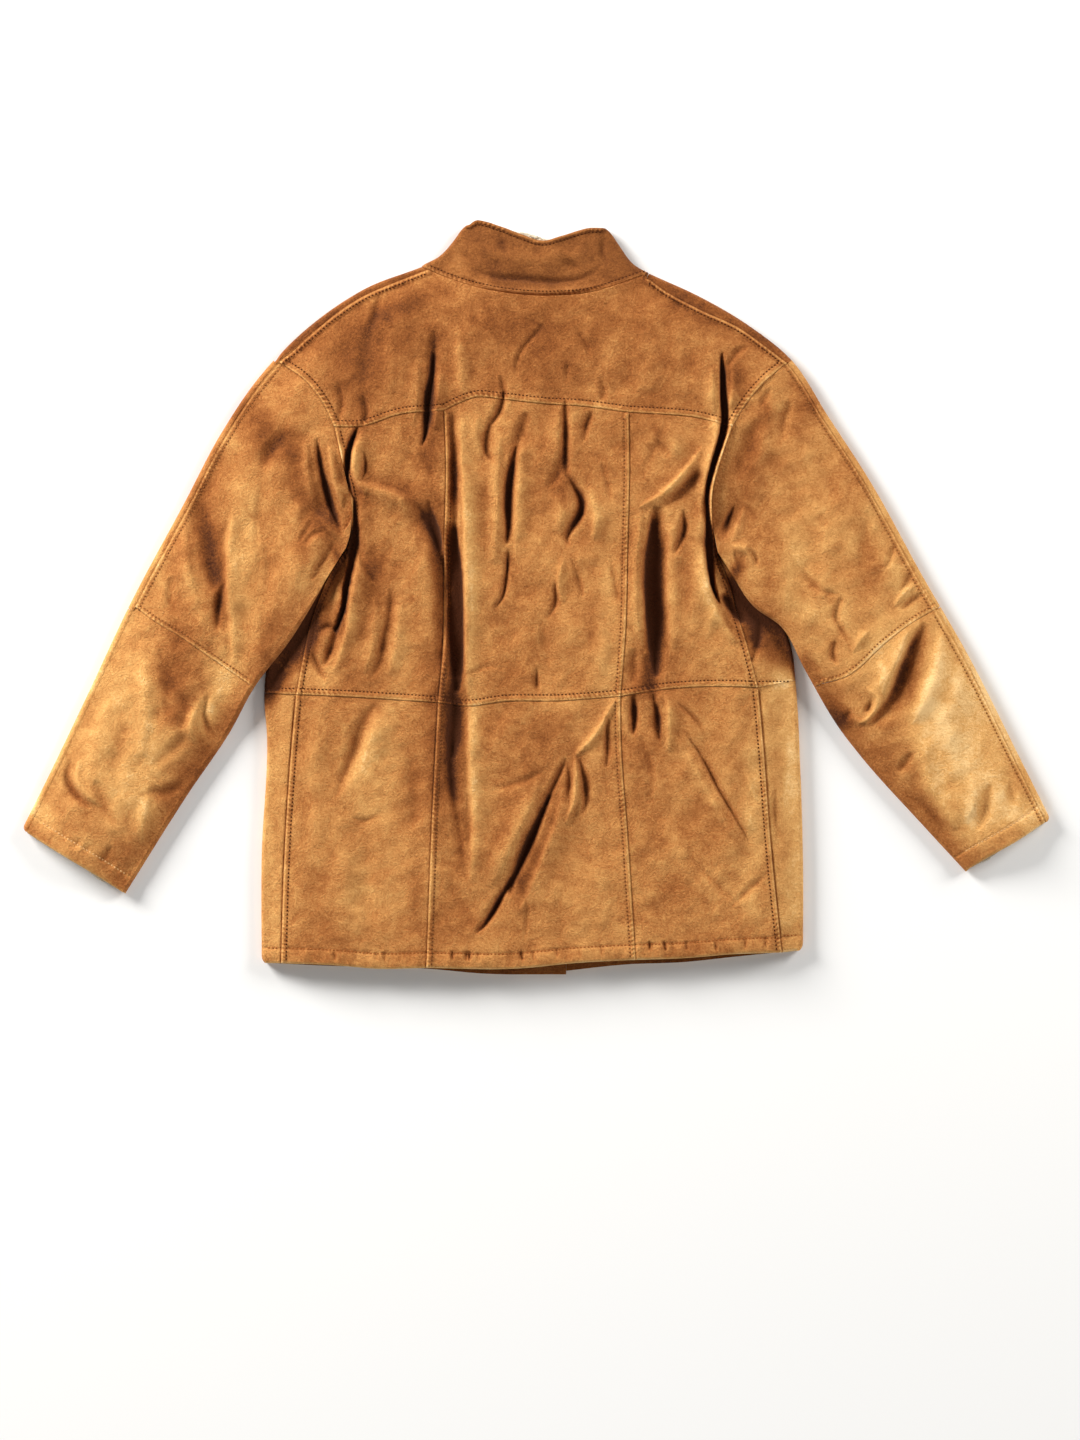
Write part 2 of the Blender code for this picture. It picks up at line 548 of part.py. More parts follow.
# The sleeves: the back half of each turns down round the inner edge, and the front half lies
# underneath and turns up round the outer edge as far as the outer seam.
for side in SIDES:
    inner, outer = f"inner outline {side}", f"outer outline {side}"
    armhole = join(armhole_lower[side], armhole_upper[side])[::-1]
    elbow, cuff = (line(f"{name} {side}", "sleeve across") for name in ("elbow", "cuff"))
    lies_at, height = partial(lap, side), partial(sleeve_height, side)
    for half, high, low in (("upper", armhole, elbow), ("lower", elbow, cuff)):
        cells = CELLS[f"sleeve {half}"]
        fold_in = stretch(inner, low[-1], high[-1], cells)
        fold_out = stretch(outer, low[0], high[0], cells)
        seam = stretch(outer, low[0], high[0], cells, SEAM_IN)
        seams = ("low", "high") if half == "upper" else ("high",)

        high, low = high.copy(), low.copy()
        high[0], high[-1], low[0], low[-1] = seam[-1], fold_in[-1], seam[0], fold_in[0]
        over = drawn_in(patch(low, high, seam, fold_in), (*seams, "left"))
        over[[0, -1], -1] = shortened(fold_in, start="low" in seams, end=True)[[0, -1]]
        inside = stretch(inner, low[-1], high[-1], cells, FOLD_R)
        round_inner = turn(over[:, -1], inside + over[:, -1] - fold_in, lies_at, start=2 * HALF_SEAM)
        piece(f"sleeve_back_{half}_{side}", [top_sheet(over, height), round_inner], SUEDE_FINISH)

        high[0], low[0] = fold_out[-1], fold_out[0]
        under = drawn_in(patch(low, high, fold_out, fold_in), (*seams, "right"))
        under[[0, -1], 0] = shortened(fold_out, start="low" in seams, end=True)[[0, -1]]
        edge = seam + under[:, 0] - fold_out
        round_outer = turn_and_strip(under[:, 0], edge, lies_at, height)
        piece(f"sleeve_front_{half}_{side}", [floor_sheet(under, lies_at), round_outer], SUEDE_FINISH)

# The collar: a standing band folded flat. Its back lies on top, it turns down round both ends,
# and its front halves lie underneath and meet over the front edges.
rows = CELLS["collar up"]
ends = {}
for side, at in (("left", 0), ("right", -1)):
    tip = LINES["collar top"][at]
    ends[side] = stretch(f"collar side {side}", fold_over_ends[side], tip, rows)
    ends[side][0] = fold_over_ends[side]
top_low = np.concatenate([ends["left"][:1], neck, ends["right"][:1]])
top_high = smooth([ends["left"][-1], *LINES["collar top"][1:-1], ends["right"][-1]],
                  len(top_low) - 1)
over = drawn_in(patch(top_low, top_high, ends["left"], ends["right"]), ("low",))
over[0, 0], over[0, -1] = (shortened(ends[side], start=True)[0] for side in SIDES)
front_top_y = min(y for _, y in LINES["collar top"]) - FRONT_DROP
sheets = [top_sheet(over, collar_height)]
for side, column, neck_end in (("left", 0, neck[0]), ("right", -1, neck[-1])):
    fold = over[:, column]
    inside = inwards(f"collar side {side}", fold, FOLD_R)
    inside[0] = neck_end
    sheets.append(turn(fold, inside, floor))
    front_top = straight(fold[-1], (FRONT_EDGE_X, front_top_y), CELLS["neck half"])
    closing = straight(front_neck[side][-1], front_top[-1], rows)
    under = drawn_in(patch(front_neck[side], front_top, ends[side], closing), ("low", "right"))
    under[0, 0] = fold[0]
    sheets.append(floor_sheet(under, floor))
piece("collar", sheets, DARK_FINISH)

# The collar's fleece lining lies against the inside of its back, and shows over its upper edge.
band = over[1:, LINING_FROM:-LINING_FROM]
z = collar_height(band) - WALL - LINING_GAP
band, z = np.concatenate([band, band[-1:] + [0, LINING_SHOWS]]), np.concatenate([z, z[-1:]])
piece("collar_lining", [(np.dstack([band, z]), np.dstack([band, z - FLEECE_WALL]))], FLEECE_FINISH)
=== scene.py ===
"""A hip-length faux shearling coat, laid flat with its back up on a pale floor.

The coat is drawn in millimetres: x across it, y from the hem to the collar, z up from the floor.
Its pieces are sewn cloth walls with a suede face outside and a fleece back inside. The back lies
uppermost, the fronts lie on the floor and turn up round the sides, and each sleeve is a flattened
tube of a back and a front half. "left" is the side at -x.
"""

import math

import bmesh
import bpy
import numpy as np
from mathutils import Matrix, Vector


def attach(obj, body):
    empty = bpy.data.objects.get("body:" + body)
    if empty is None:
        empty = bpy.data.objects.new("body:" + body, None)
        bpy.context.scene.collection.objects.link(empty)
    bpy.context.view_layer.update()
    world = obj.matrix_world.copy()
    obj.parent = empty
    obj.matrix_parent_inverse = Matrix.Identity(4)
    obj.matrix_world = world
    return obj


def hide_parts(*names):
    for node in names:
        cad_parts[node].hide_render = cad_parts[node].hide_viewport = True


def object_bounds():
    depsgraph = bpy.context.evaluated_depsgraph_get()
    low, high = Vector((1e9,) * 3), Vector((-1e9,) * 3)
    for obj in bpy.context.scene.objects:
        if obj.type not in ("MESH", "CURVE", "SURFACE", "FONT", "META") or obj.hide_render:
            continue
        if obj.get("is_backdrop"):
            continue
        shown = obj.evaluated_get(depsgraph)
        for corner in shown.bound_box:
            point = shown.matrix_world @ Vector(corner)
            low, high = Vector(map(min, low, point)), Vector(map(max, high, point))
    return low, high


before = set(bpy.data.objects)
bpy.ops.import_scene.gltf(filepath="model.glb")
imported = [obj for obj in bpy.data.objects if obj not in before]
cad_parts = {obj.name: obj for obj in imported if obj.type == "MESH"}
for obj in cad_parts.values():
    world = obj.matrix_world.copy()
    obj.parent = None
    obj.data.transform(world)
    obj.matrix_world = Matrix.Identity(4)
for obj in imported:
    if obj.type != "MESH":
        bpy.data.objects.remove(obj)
cad_low, cad_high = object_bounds()

# ---------------------------------------------------------------------------------------------
# The yoke: one piece across both shoulders, from the neck down to the seam over the back panels.
# It is suede-faced cloth with a fleece back, sewn over the back panels' upper edges with a lapped
# seam and one row of topstitching, and it lies uppermost, so its folds run on into the panels.

SIDES = ("left", "right")
COAT_WIDTH = 1152.5  # across both cuffs, in millimetres of the drawing
MM = (cad_high.x - cad_low.x) / COAT_WIDTH
ORIGIN = np.array([(cad_high.x + cad_low.x) / 2, (cad_high.y + cad_low.y) / 2, cad_low.z])
DRAWN_MIDDLE = np.array([-0.25, -0.1, 0.0])

WALL = 4.6  # suede face and fleece back together
HALF_SEAM = 0.12  # each piece stops this far short of its seam line
TURN = 5.0  # the cloth turns round an edge in half an oval: this far across
EDGE_TOP = 12.0  # and this high
LOWEST_TOP = 10.2  # the back lies on the front here
BODY_LOFT = 12.0  # how much the back rises inside its outline
LOFT_REACH = 30.0  # distance from the outline over which it rises
FADE_REACH = 9.0  # folds die out over this distance from the outline
ROUND = (2, 2)  # the form of a fold on its left and on its right, unless its row gives another
FAR_INSIDE = 99.0  # a distance from the outline at which they have their full rise
HIGHEST_TOP = 37.0  # no fold stands higher than this

YOKE_LINES = {
    "neck": [(-122, 367), (-99, 357), (-68, 347), (-24, 339), (18, 337), (61, 341), (93, 351),
             (120, 361)],
    "yoke seam left": [(-227, 190), (-199, 190), (-152, 204), (-104, 208)],
    "yoke seam centre": [(-104, 208), (-86, 217), (-68, 223), (-41, 221), (4, 216), (50, 213),
                         (103, 206)],
    "yoke seam right": [(103, 206), (140, 204), (175, 201), (219, 190)],
    "shoulder seam left": [(-291, 264), (-281, 270), (-257, 291), (-227, 316), (-195, 337),
                           (-163, 351), (-122, 367)],
    "shoulder seam right": [(281, 262), (256, 281), (228, 301), (183, 322), (144, 343),
                            (120, 361)],
    "armhole left upper": [(-227, 190), (-242, 220), (-260, 242), (-291, 264)],
    "armhole right upper": [(219, 190), (232, 212), (257, 242), (281, 262)],
    "body outline left": [(-309, -411), (-309, -292), (-303, -158), (-306, -104), (-298, -58),
                          (-280, -22), (-257, 14), (-229, 60)],
    "body outline right": [(299, -397), (299, -300), (296, -194), (291, -100), (286, -58),
                           (268, -14), (244, 18), (216, 56)],
    "outer outline left": [(-127, 373), (-195, 346), (-257, 303), (-313, 245), (-356, 181),
                           (-395, 107), (-456, -7), (-504, -109), (-553, -211), (-578, -261)],
    "outer outline right": [(126, 363), (183, 337), (239, 304), (285, 267), (327, 203), (373, 132),
                            (434, 22), (483, -63), (543, -182), (577, -250)],
}

# The folds of the back as it lies, across all its seams. Each has its path, its rise (below 0 a
# trough) and how far it spreads to the left and to the right of the path, as seen when walking
# from its first point to its last. Where it isn't round, its form on each side follows: below 2
# a sharper crease, above 2 flatter with a steep side.
BODY_FOLDS = [
    # the left armhole: its band stands up, then a narrow trench, then the panel's puffed edge
    ([(-201, 190), (-209, 170), (-213, 151), (-213, 133), (-209, 119),
      (-205, 106)], -18, 3.2, 2.8),
    ([(-205, 113), (-204, 86), (-205, 63), (-208, 41), (-214, 7), (-217, -15),
      (-227, -42)], -20, 2.8, 2.8, 3, 3),
    ([(-219, -17), (-227, -49), (-239, -80)], -7, 4, 6),
    ([(-224, 183), (-217, 153), (-211, 119), (-209, 91), (-210, 58), (-216, 32)], 7, 3.4, 4),
    ([(-195, 186), (-202, 166), (-205, 144), (-200, 126), (-191, 113)], 8, 11, 2.6),
    ([(-197, 113), (-197, 74), (-200, 35), (-207, -2), (-213, -38), (-220, -62),
      (-230, -87)], 8, 13, 2.6),
    ([(-202, 126), (-178, 119), (-153, 110), (-128, 88)], 8, 6, 13),
    ([(-149, 108), (-131, 94), (-117, 76), (-108, 50)], -7, 7, 11),
    ([(-122, 108), (-112, 74), (-106, 30), (-105, -26), (-107, -85)], -9, 4, 9, 4, 2),
    ([(-195, 164), (-192, 147), (-197, 126)], -4, 2, 2.5),
    ([(-133, 162), (-120, 142), (-113, 117)], -3, 5, 5),
    ([(-201, 66), (-196, 41), (-182, 14)], -5, 6, 3),
    ([(-163, 10), (-165, -17), (-172, -49), (-176, -71), (-188, -96)], -4.5, 6, 4, 2, 1.6),
    ([(-154, 1), (-157, -49), (-167, -89)], 4, 10, 4),
    ([(-180, 1), (-183, -49), (-194, -89)], 3, 5, 9),
    ([(-252, -62), (-245, -78), (-236, -96)], -4, 3, 4),
    ([(-247, -42), (-234, -33), (-220, -42)], -4, 4, 3),
    ([(-232, 21), (-230, -8), (-238, -49)], -4, 7, 7),
    # the deep valley right of the left back seam, and the sharp edge that stands over it
    ([(-95, 207), (-93, 153), (-92, 86), (-90, 41)], -7, 5, 6, 4, 2),
    ([(-96, 84), (-93, 36), (-91, -26), (-89, -112)], -19, 10, 10, 6, 3),
    ([(-87, 211), (-83, 142), (-79, 41), (-80, -49), (-77, -116)], 8, 15, 2.4),
    # the centre panel
    ([(-11, 207), (-19, 181), (-26, 155)], -4, 6, 6),
    ([(-23, 169), (-29, 137), (-32, 104), (-32, 72), (-36, 52)], -12, 4.6, 4.8),
    ([(-32, 54), (-34, 24), (-39, -1), (-49, -15)], -6, 2.6, 2.4),
    ([(-42, 180), (-45, 108), (-46, 34)], 5, 5, 11),
    ([(-17, 180), (-21, 108), (-24, 34)], 4, 10, 4),
    ([(-36, 231), (-42, 209), (-51, 193)], -6, 4, 4),
    ([(-49, 204), (-57, 180), (-56, 160), (-43, 146)], -5, 5, 3),
    ([(-65, 204), (-68, 175), (-61, 151)], 3, 4, 7),
    ([(32, 220), (32, 186), (32, 158), (34, 126)], -9, 4.6, 5),
    ([(28, 164), (22, 133), (8, 117)], -4, 5, 7),
    ([(35, 137), (43, 123), (51, 108), (50, 95), (41, 80), (34, 67), (37, 52)], -9.5, 3.8, 5.6),
    ([(57, 122), (65, 95), (63, 59)], 5, 9, 4),
    ([(17, 115), (28, 97), (22, 70)], 3.5, 6, 8),
    ([(62, 207), (54, 189), (53, 171)], -5, 4, 4.4),
    ([(73, 151), (79, 128), (84, 104)], -2, 3, 3),
    ([(38, 45), (46, 21), (52, -6)], -3, 3, 3),
    ([(29, 45), (25, 7), (32, -11)], 3.5, 5, 2.5),
    ([(22, 18), (20, -11), (10, -26)], -3.5, 2.5, 3),
    ([(83, 45), (88, 12), (93, -13)], -2.5, 3, 3),
    ([(0, -80), (-1, -94), (2, -109)], -4, 3, 3),
    ([(-79, -89), (-59, -79), (-32, -81)], -1.6, 2.4, 2.4),
    ([(-26, 151), (-10, 166), (13, 175)], 1.6, 8, 8),
    ([(71, -26), (75, -60), (71, -96)], 3, 8, 10),
    ([(4, -26), (9, -54), (14, -80)], -2, 6, 5),
    # the right panel: the deep valley and what lies round it
    ([(134, 101), (131, 63), (129, 30), (130, -15), (132, -54), (136, -91)], -20, 15, 9, 2, 4),
    ([(117, 95), (111, 30), (113, -26), (120, -64)], 6, 5, 8),
    ([(150, 83), (147, 7), (151, -60)], 6, 14, 4.5),
    ([(109, -58), (107, -80), (110, -102)], -4.5, 6, 7),
    ([(125, -64), (129, -94), (131, -120)], -6.5, 10, 9),
    ([(113, 100), (134, 111), (156, 130), (174, 151), (187, 171)], 6, 3, 8),
    ([(140, 99), (160, 117), (183, 135), (190, 115)], -5, 7, 8),
    ([(164, 97), (165, 74), (158, 58), (153, 45)], -6, 4, 4),
    ([(145, 193), (131, 164), (121, 142), (116, 122)], -1.2, 4, 4),
    ([(134, 175), (142, 166), (149, 157)], -2.4, 4, 5),
    ([(147, 198), (156, 175), (160, 153)], 2.5, 8, 8),
    ([(172, 63), (176, 18), (172, -49)], 3, 10, 12),
    ([(203, -8), (196, -29), (187, -49)], 2, 6, 6),
    # the right armhole: a deep trench that runs down from the yoke, with a puffed edge on its left
    ([(207, 274), (209, 229), (210, 193), (204, 169), (197, 147), (192, 125),
      (190, 99)], -22, 3.8, 3.6, 3, 3),
    ([(190, 115), (193, 74), (194, 41), (197, 13), (206, -11)], -20, 3.2, 2.8, 3, 3),
    ([(207, 3), (219, -13), (232, -31)], -14, 7, 5),
    ([(200, 202), (204, 173), (197, 151), (190, 130), (184, 104)], 8, 2.4, 9),
    ([(184, 108), (186, 63), (188, 30), (195, -1), (209, -29), (225, -55)], 8, 2.6, 11),
    ([(223, 207), (212, 175), (202, 146), (196, 117), (195, 86), (198, 52), (206, 25),
      (218, 7)], 6, 4, 2.6),
    ([(250, -29), (246, -54), (239, -76)], -5, 4, 4),
    ([(196, 256), (198, 225), (198, 198)], 4, 3, 9),
    ([(219, 263), (219, 229), (216, 207)], 4, 7, 2.6),
    ([(212, 256), (225, 274), (239, 282)], -3, 4, 3),
    # the yoke
    ([(-116, 274), (-118, 247), (-122, 222), (-123, 198), (-126, 178),
      (-131, 164)], -12, 4, 3.8),
    ([(-115, 298), (-116, 269), (-118, 247)], -4, 5, 6),
    ([(-108, 258), (-111, 225), (-114, 186)], 5, 7, 3),
    ([(-133, 265), (-134, 225), (-140, 186)], 3, 4, 9),
    ([(-89, 287), (-85, 251), (-84, 218)], 5, 9, 7),
    ([(9, 307), (-2, 294), (-17, 276), (-23, 263), (-22, 245)], -2.4, 2.6, 2.2, 2, 1.5),
    ([(42, 303), (54, 283), (61, 263)], -2, 2.6, 2.2, 2, 1.5),
    ([(35, 263), (33, 249), (34, 236)], -1.8, 2.4, 2.4),
    ([(-196, 225), (-191, 207), (-196, 189)], -4, 4, 4),
    ([(-223, 240), (-219, 218), (-223, 193)], -3, 4, 4),
    ([(-185, 310), (-191, 274), (-194, 229)], -3, 8, 9),
    ([(-162, 298), (-167, 265), (-162, 225)], 3, 10, 10),
    ([(-41, 249), (-38, 234), (-37, 220)], -3, 3, 3),
    ([(71, 247), (75, 229), (71, 216)], -3, 4, 4),
    ([(116, 298), (129, 265), (127, 225)], 3, 12, 14),
    ([(165, 298), (172, 269), (169, 229)], -2.5, 10, 10),
    ([(-176, 337), (-182, 316), (-185, 298)], -3, 6, 4),
    # below the waist: the long diagonal fold, the ridges over it, and the valley beside the left seam
    ([(33, -181), (24, -201), (16, -217), (9, -237)], -6, 3.4, 4),
    ([(16, -221), (5, -246), (-6, -273), (-17, -297), (-26, -318), (-32, -340)], -14, 3.4, 8, 2, 1.5),
    ([(-26, -313), (-38, -333), (-49, -353), (-59, -368), (-71, -379)], -11, 3.2, 4.2),
    ([(28, -212), (23, -250), (10, -284), (-4, -320), (-21, -356)], 5, 15, 3),
    ([(4, -201), (-14, -246), (-32, -282), (-55, -331)], 5, 8, 14),
    ([(43, -179), (44, -206), (42, -228), (33, -255)], 6, 2.6, 3),
    ([(48, -181), (54, -210), (55, -230), (48, -250)], -6.5, 4.6, 3.6),
    ([(34, -185), (37, -206), (35, -226)], -3, 2.6, 2.6),
    ([(89, -114), (79, -132), (69, -150), (55, -167), (38, -183)], 5, 3, 4),
    ([(79, -134), (79, -165), (78, -197)], -5, 3, 3),
    ([(-94, -92), (-93, -134), (-96, -182)], -11, 14, 8),
    ([(-98, -150), (-97, -201), (-90, -253)], -6, 9, 4),
    ([(-90, -241), (-84, -282), (-78, -322)], -3, 3, 7),
    ([(-74, -111), (-74, -183), (-70, -250), (-75, -324)], 6, 12, 3.4),
    ([(-52, -217), (-19, -208), (10, -194)], -2, 4, 4),
    ([(-19, -318), (-12, -340), (-14, -389)], -1.8, 3, 2),
    ([(108, -109), (110, -133), (108, -156)], -10, 3.6, 6),
    ([(130, -109), (136, -132), (138, -163)], -8, 3, 6),
    ([(146, -109), (148, -144), (147, -179)], 5.5, 7, 3),
    ([(116, -156), (128, -192), (127, -237)], -3, 4, 7),
    ([(156, -118), (178, -138), (190, -158)], -3.4, 2.4, 3),
    ([(165, -150), (187, -183), (205, -217), (228, -257), (241, -282)], -5, 2.6, 2.6, 1.5, 2),
    ([(154, -156), (177, -192), (196, -228), (221, -270)], 3.4, 3.4, 8),
    ([(231, -192), (239, -210), (247, -230)], 3, 3, 2.4),
    ([(172, -293), (196, -318), (223, -344)], -2.4, 4, 4),
    ([(259, -309), (237, -329), (214, -351)], -2.4, 4, 4),
    ([(139, -250), (160, -284), (169, -326)], 3, 12, 12),
    ([(268, -212), (266, -241), (271, -275)], -3, 3, 3),
    ([(-181, -120), (-196, -142), (-205, -169), (-215, -199), (-226, -228)], -5, 9, 6),
    ([(-174, -129), (-186, -165), (-197, -201)], 3.5, 16, 8),
    ([(-218, -230), (-209, -245), (-197, -251), (-185, -249), (-173, -237)], -1.6, 2, 2.6),
    ([(-146, -174), (-135, -217), (-140, -266)], -3, 8, 9),
    ([(-245, -138), (-252, -206), (-245, -284)], 3, 14, 12),
    ([(-227, -262), (-214, -306), (-220, -374)], 3, 12, 14),
    ([(-265, -183), (-258, -228), (-263, -284)], -2, 8, 8),
    ([(-185, -284), (-191, -329), (-180, -374)], -2.4, 10, 12),
    ([(60, -284), (75, -329), (71, -385)], 3, 12, 14),
    ([(22, -340), (28, -362), (26, -389)], -1.8, 7, 8),
    ([(-99, -318), (-84, -346), (-70, -374)], -3, 9, 9),
]

# Short puckers across the hem's band: the middle of each, how far it slants, and its rise.
HEM_PUCKERS = [
    (-226.5, -405, 1, -3.0), (-180, -406, 0, -2.4), (-170.5, -406, 1, -3.0),
    (-94.5, -405, 1, -5.0), (-79.5, -405, -1, -3.7), (-75, -405, 2, -4.2), (-65.5, -406, 1, -2.4),
    (-16.5, -405, 5, -4.5), (-3.5, -404, 3, -2.4), (23, -401.5, 2, -2.0), (48, -400.5, 4, -2.4),
    (73, -399, 4, -2.2), (127, -394, 2, -5.0), (143.5, -394, 3, -5.0), (153, -395, 4, -2.4),
    (168, -394, 2, -2.2), (200.5, -394, 1, -2.8), (233.5, -391.5, 1, -3.0),
    (256.5, -390, 1, -2.4),
]
PUCKER_LENGTH = 17.0
PUCKER_SPREAD = 1.6
PUCKER_SHARE = 0.8  # how much of its listed rise each one has
# painted shade in each pucker
PUCKER_PAINTED_SHADE = 0.035  # how much darker it is for a millimetre of its depth
PUCKERS = [([(x - slant / 2, y + PUCKER_LENGTH / 2), (x + slant / 2, y - PUCKER_LENGTH / 2)],
            PUCKER_SHARE * rise, PUCKER_SPREAD, PUCKER_SPREAD)
           for x, y, slant, rise in HEM_PUCKERS]
BODY_FOLDS += PUCKERS


def curve(points):
    """A smooth line through the points, in steps of about a millimetre.

    Between two points it is the cubic that has each point's own slope, which is the slope from
    the point before it to the point after it.
    """
    p = np.array(points, float)
    if len(p) == 2:
        steps = max(2, int(np.linalg.norm(p[1] - p[0])))
        return p[0] + np.linspace(0, 1, steps + 1)[:, None] * (p[1] - p[0])
    chord = np.concatenate([[0], np.cumsum(np.linalg.norm(np.diff(p, axis=0), axis=1))])
    slope = np.gradient(p, chord, axis=0)
    t = np.linspace(0, chord[-1], int(chord[-1]) + 2)
    i = np.clip(np.searchsorted(chord, t, "right") - 1, 0, len(p) - 2)
    span = (chord[i + 1] - chord[i])[:, None]
    u = (t - chord[i])[:, None] / span
    return ((1 + 2 * u) * (1 - u) ** 2 * p[i] + u * (1 - u) ** 2 * span * slope[i]
            + u * u * (3 - 2 * u) * p[i + 1] + u * u * (u - 1) * span * slope[i + 1])


def lengths(line):
    """How far along a line each of its points is."""
    return np.concatenate([[0], np.cumsum(np.linalg.norm(np.diff(line, axis=0), axis=1))])


def places(line, t):
    """The points at shares t of a line's length."""
    far = lengths(line)
    return np.stack([np.interp(np.asarray(t) * far[-1], far, line[:, k]) for k in (0, 1)], axis=-1)


def nearest(line, points):
    """For each point: signed distance from the line, above 0 on its left, and the share of the
    line's length that is before the nearest place on it."""
    line = line[:: max(1, len(line) // 60)] if len(line) > 90 else line
    d = np.diff(line, axis=0)
    long = np.linalg.norm(d, axis=1)
    rel = points[:, None, :] - line[:-1]
    t = np.clip((rel * d).sum(-1) / long**2, 0, 1)
    off = rel - t[..., None] * d
    far = (off**2).sum(-1)
    k = far.argmin(1)
    pick = (np.arange(len(k)), k)
    side = np.sign(d[k, 0] * off[pick][:, 1] - d[k, 1] * off[pick][:, 0])
    along = (np.concatenate([[0], np.cumsum(long)])[k] + t[pick] * long[k]) / long.sum()
    return np.sqrt(far[pick]) * np.where(side == 0, 1, side), along


def moved(line, by):
    """The line moved to its left by a distance."""
    run = np.gradient(line, axis=0)
    run /= np.linalg.norm(run, axis=1)[:, None]
    return line + by * np.stack([-run[:, 1], run[:, 0]], axis=1)


def inwards(name, line, by):
    """A line that runs along an outline, moved towards the coat's inside."""
    outside_is_left = ("body outline left", "inner outline left", "collar side left",
                       "outer outline right")
    return moved(line, -by if name in outside_is_left else by)


YOKE_LINES.update({  # the sleeves' inner outlines, which lie over the sides of the body
    "inner outline left": [(-212, 66), (-222, 47), (-246, 1), (-273, -44), (-318, -104),
                           (-344, -151), (-390, -219), (-462, -333)],
    "inner outline right": [(201, 62), (212, 40), (243, -11), (274, -34), (300, -81), (342, -151),
                            (363, -178), (434, -257), (482, -309)],
})
LINE = {name: curve(points) for name, points in YOKE_LINES.items()}
FOLD_LINE = {name: inwards(name, line, TURN) for name, line in LINE.items() if "outline" in name}


def relief(folds, points, from_edge):
    """The folds added up, as a height at each point.

    One fold is its rise, times a half sine along its path to the power 0.6, times
    exp(-(distance / spread) ** form) across it; towards its ends it also gets narrower. All of
    them fade out at the outline.
    """
    height = np.zeros(len(points))
    for path, rise, left, right, *forms in folds:
        line = curve(path)[::6]
        form_left, form_right = forms or ROUND
        reach = 3.2 * max(left, right)
        low, high = line.min(0) - reach, line.max(0) + reach
        near = np.flatnonzero(((points > low) & (points < high)).all(1))
        if len(near):
            off, along = nearest(line, points[near])
            swell = np.abs(np.sin(math.pi * along)) ** 0.6
            spread = np.where(off > 0, left, right) * (0.35 + 0.65 * swell)
            form = np.where(off > 0, form_left, form_right)
            height[near] += rise * swell * np.exp(-(np.abs(off) / spread) ** form)
    return height * (1 - np.exp(-((from_edge / FADE_REACH) ** 2)))


def waves(points, size, seed, rise):
    """Soft unevenness: seven sine waves of about one size, each bent by another, added up."""
    random = np.random.default_rng(seed)
    height = np.zeros(len(points))
    for turn, scale, start in zip(random.uniform(0, 2 * math.pi, 7), random.uniform(0.7, 1.5, 7),
                                  random.uniform(0, 2 * math.pi, (7, 2))):
        away = np.array([math.cos(turn), math.sin(turn) * 0.75]) / (size * scale)
        cross = np.array([-away[1], away[0]]) * 0.7
        height += np.sin(2 * math.pi * (points @ away) + start[0]
                         + 1.2 * np.sin(2 * math.pi * (points @ cross) + start[1]))
    return rise * height / 7


def loft(rise, from_edge):
    """Height gained away from the outline: level at first, then a soft rise to a plateau."""
    return rise * (1 - np.exp(-((from_edge / LOFT_REACH) ** 1.5)))


def soft_floor(height, lowest, highest, softness=1.5):
    """The height kept between two others, with a soft landing: log(1 + exp) of the difference."""
    raised = lowest + softness * np.logaddexp(0, (height - lowest) / softness)
    return highest - softness * np.logaddexp(0, (highest - raised) / softness)


def edge_distance(names, points):
    """Distance from the nearest of the named fold lines."""
    return np.min([np.abs(nearest(FOLD_LINE[name], points)[0]) for name in names], axis=0)


PRESSED = 7.0  # a sleeve presses the side of the body down by this much
PRESS_REACH = 15.0
PRESS_RUN = 260  # the points of a sleeve's inner edge, from its armpit on, that bear on the body


def pressed(points):
    """How much a sleeve bears on the body: 1 under its inner edge, 0 away from it."""
    off = [np.abs(nearest(LINE[f"inner outline {side}"][:PRESS_RUN], points)[0]) for side in SIDES]
    return np.exp(-((np.min(off, axis=0) / PRESS_REACH) ** 2))


BODY_EDGES = [f"{kind} outline {side}" for kind in ("body", "outer") for side in SIDES]


def body_height(points):
    """The back's upper face: loft, folds and soft unevenness, never through the front."""
    flat = points.reshape(-1, 2)
    from_edge = edge_distance(BODY_EDGES, flat)
    uneven = (waves(flat, 90, 3, 2.4) + waves(flat, 40, 4, 1.7) + waves(flat, 20, 5, 0.75)
              + waves(flat, 10, 6, 0.25))
    height = (EDGE_TOP + loft(BODY_LOFT, from_edge) + relief(BODY_FOLDS, flat, from_edge)
              + uneven * (1 - np.exp(-from_edge / 12)) - PRESSED * pressed(flat))
    return soft_floor(height, LOWEST_TOP, HIGHEST_TOP).reshape(points.shape[:-1])


# How a piece is finished along an edge. Each is a height added at a distance from the edge.
LAP_BAND = 7.0  # topstitching runs this far from the edge of a lapped cross seam,
UPRIGHT_BAND = 6.0  # this far from that of an upright one,
HEM_BAND = 17.0  # and this far from the hem


def rounded(distance, radius):
    """The drop of a quarter circle towards an edge."""
    short = np.clip(radius - distance, 0, radius)
    return np.sqrt(np.clip(radius**2 - short**2, 0, None)) - radius


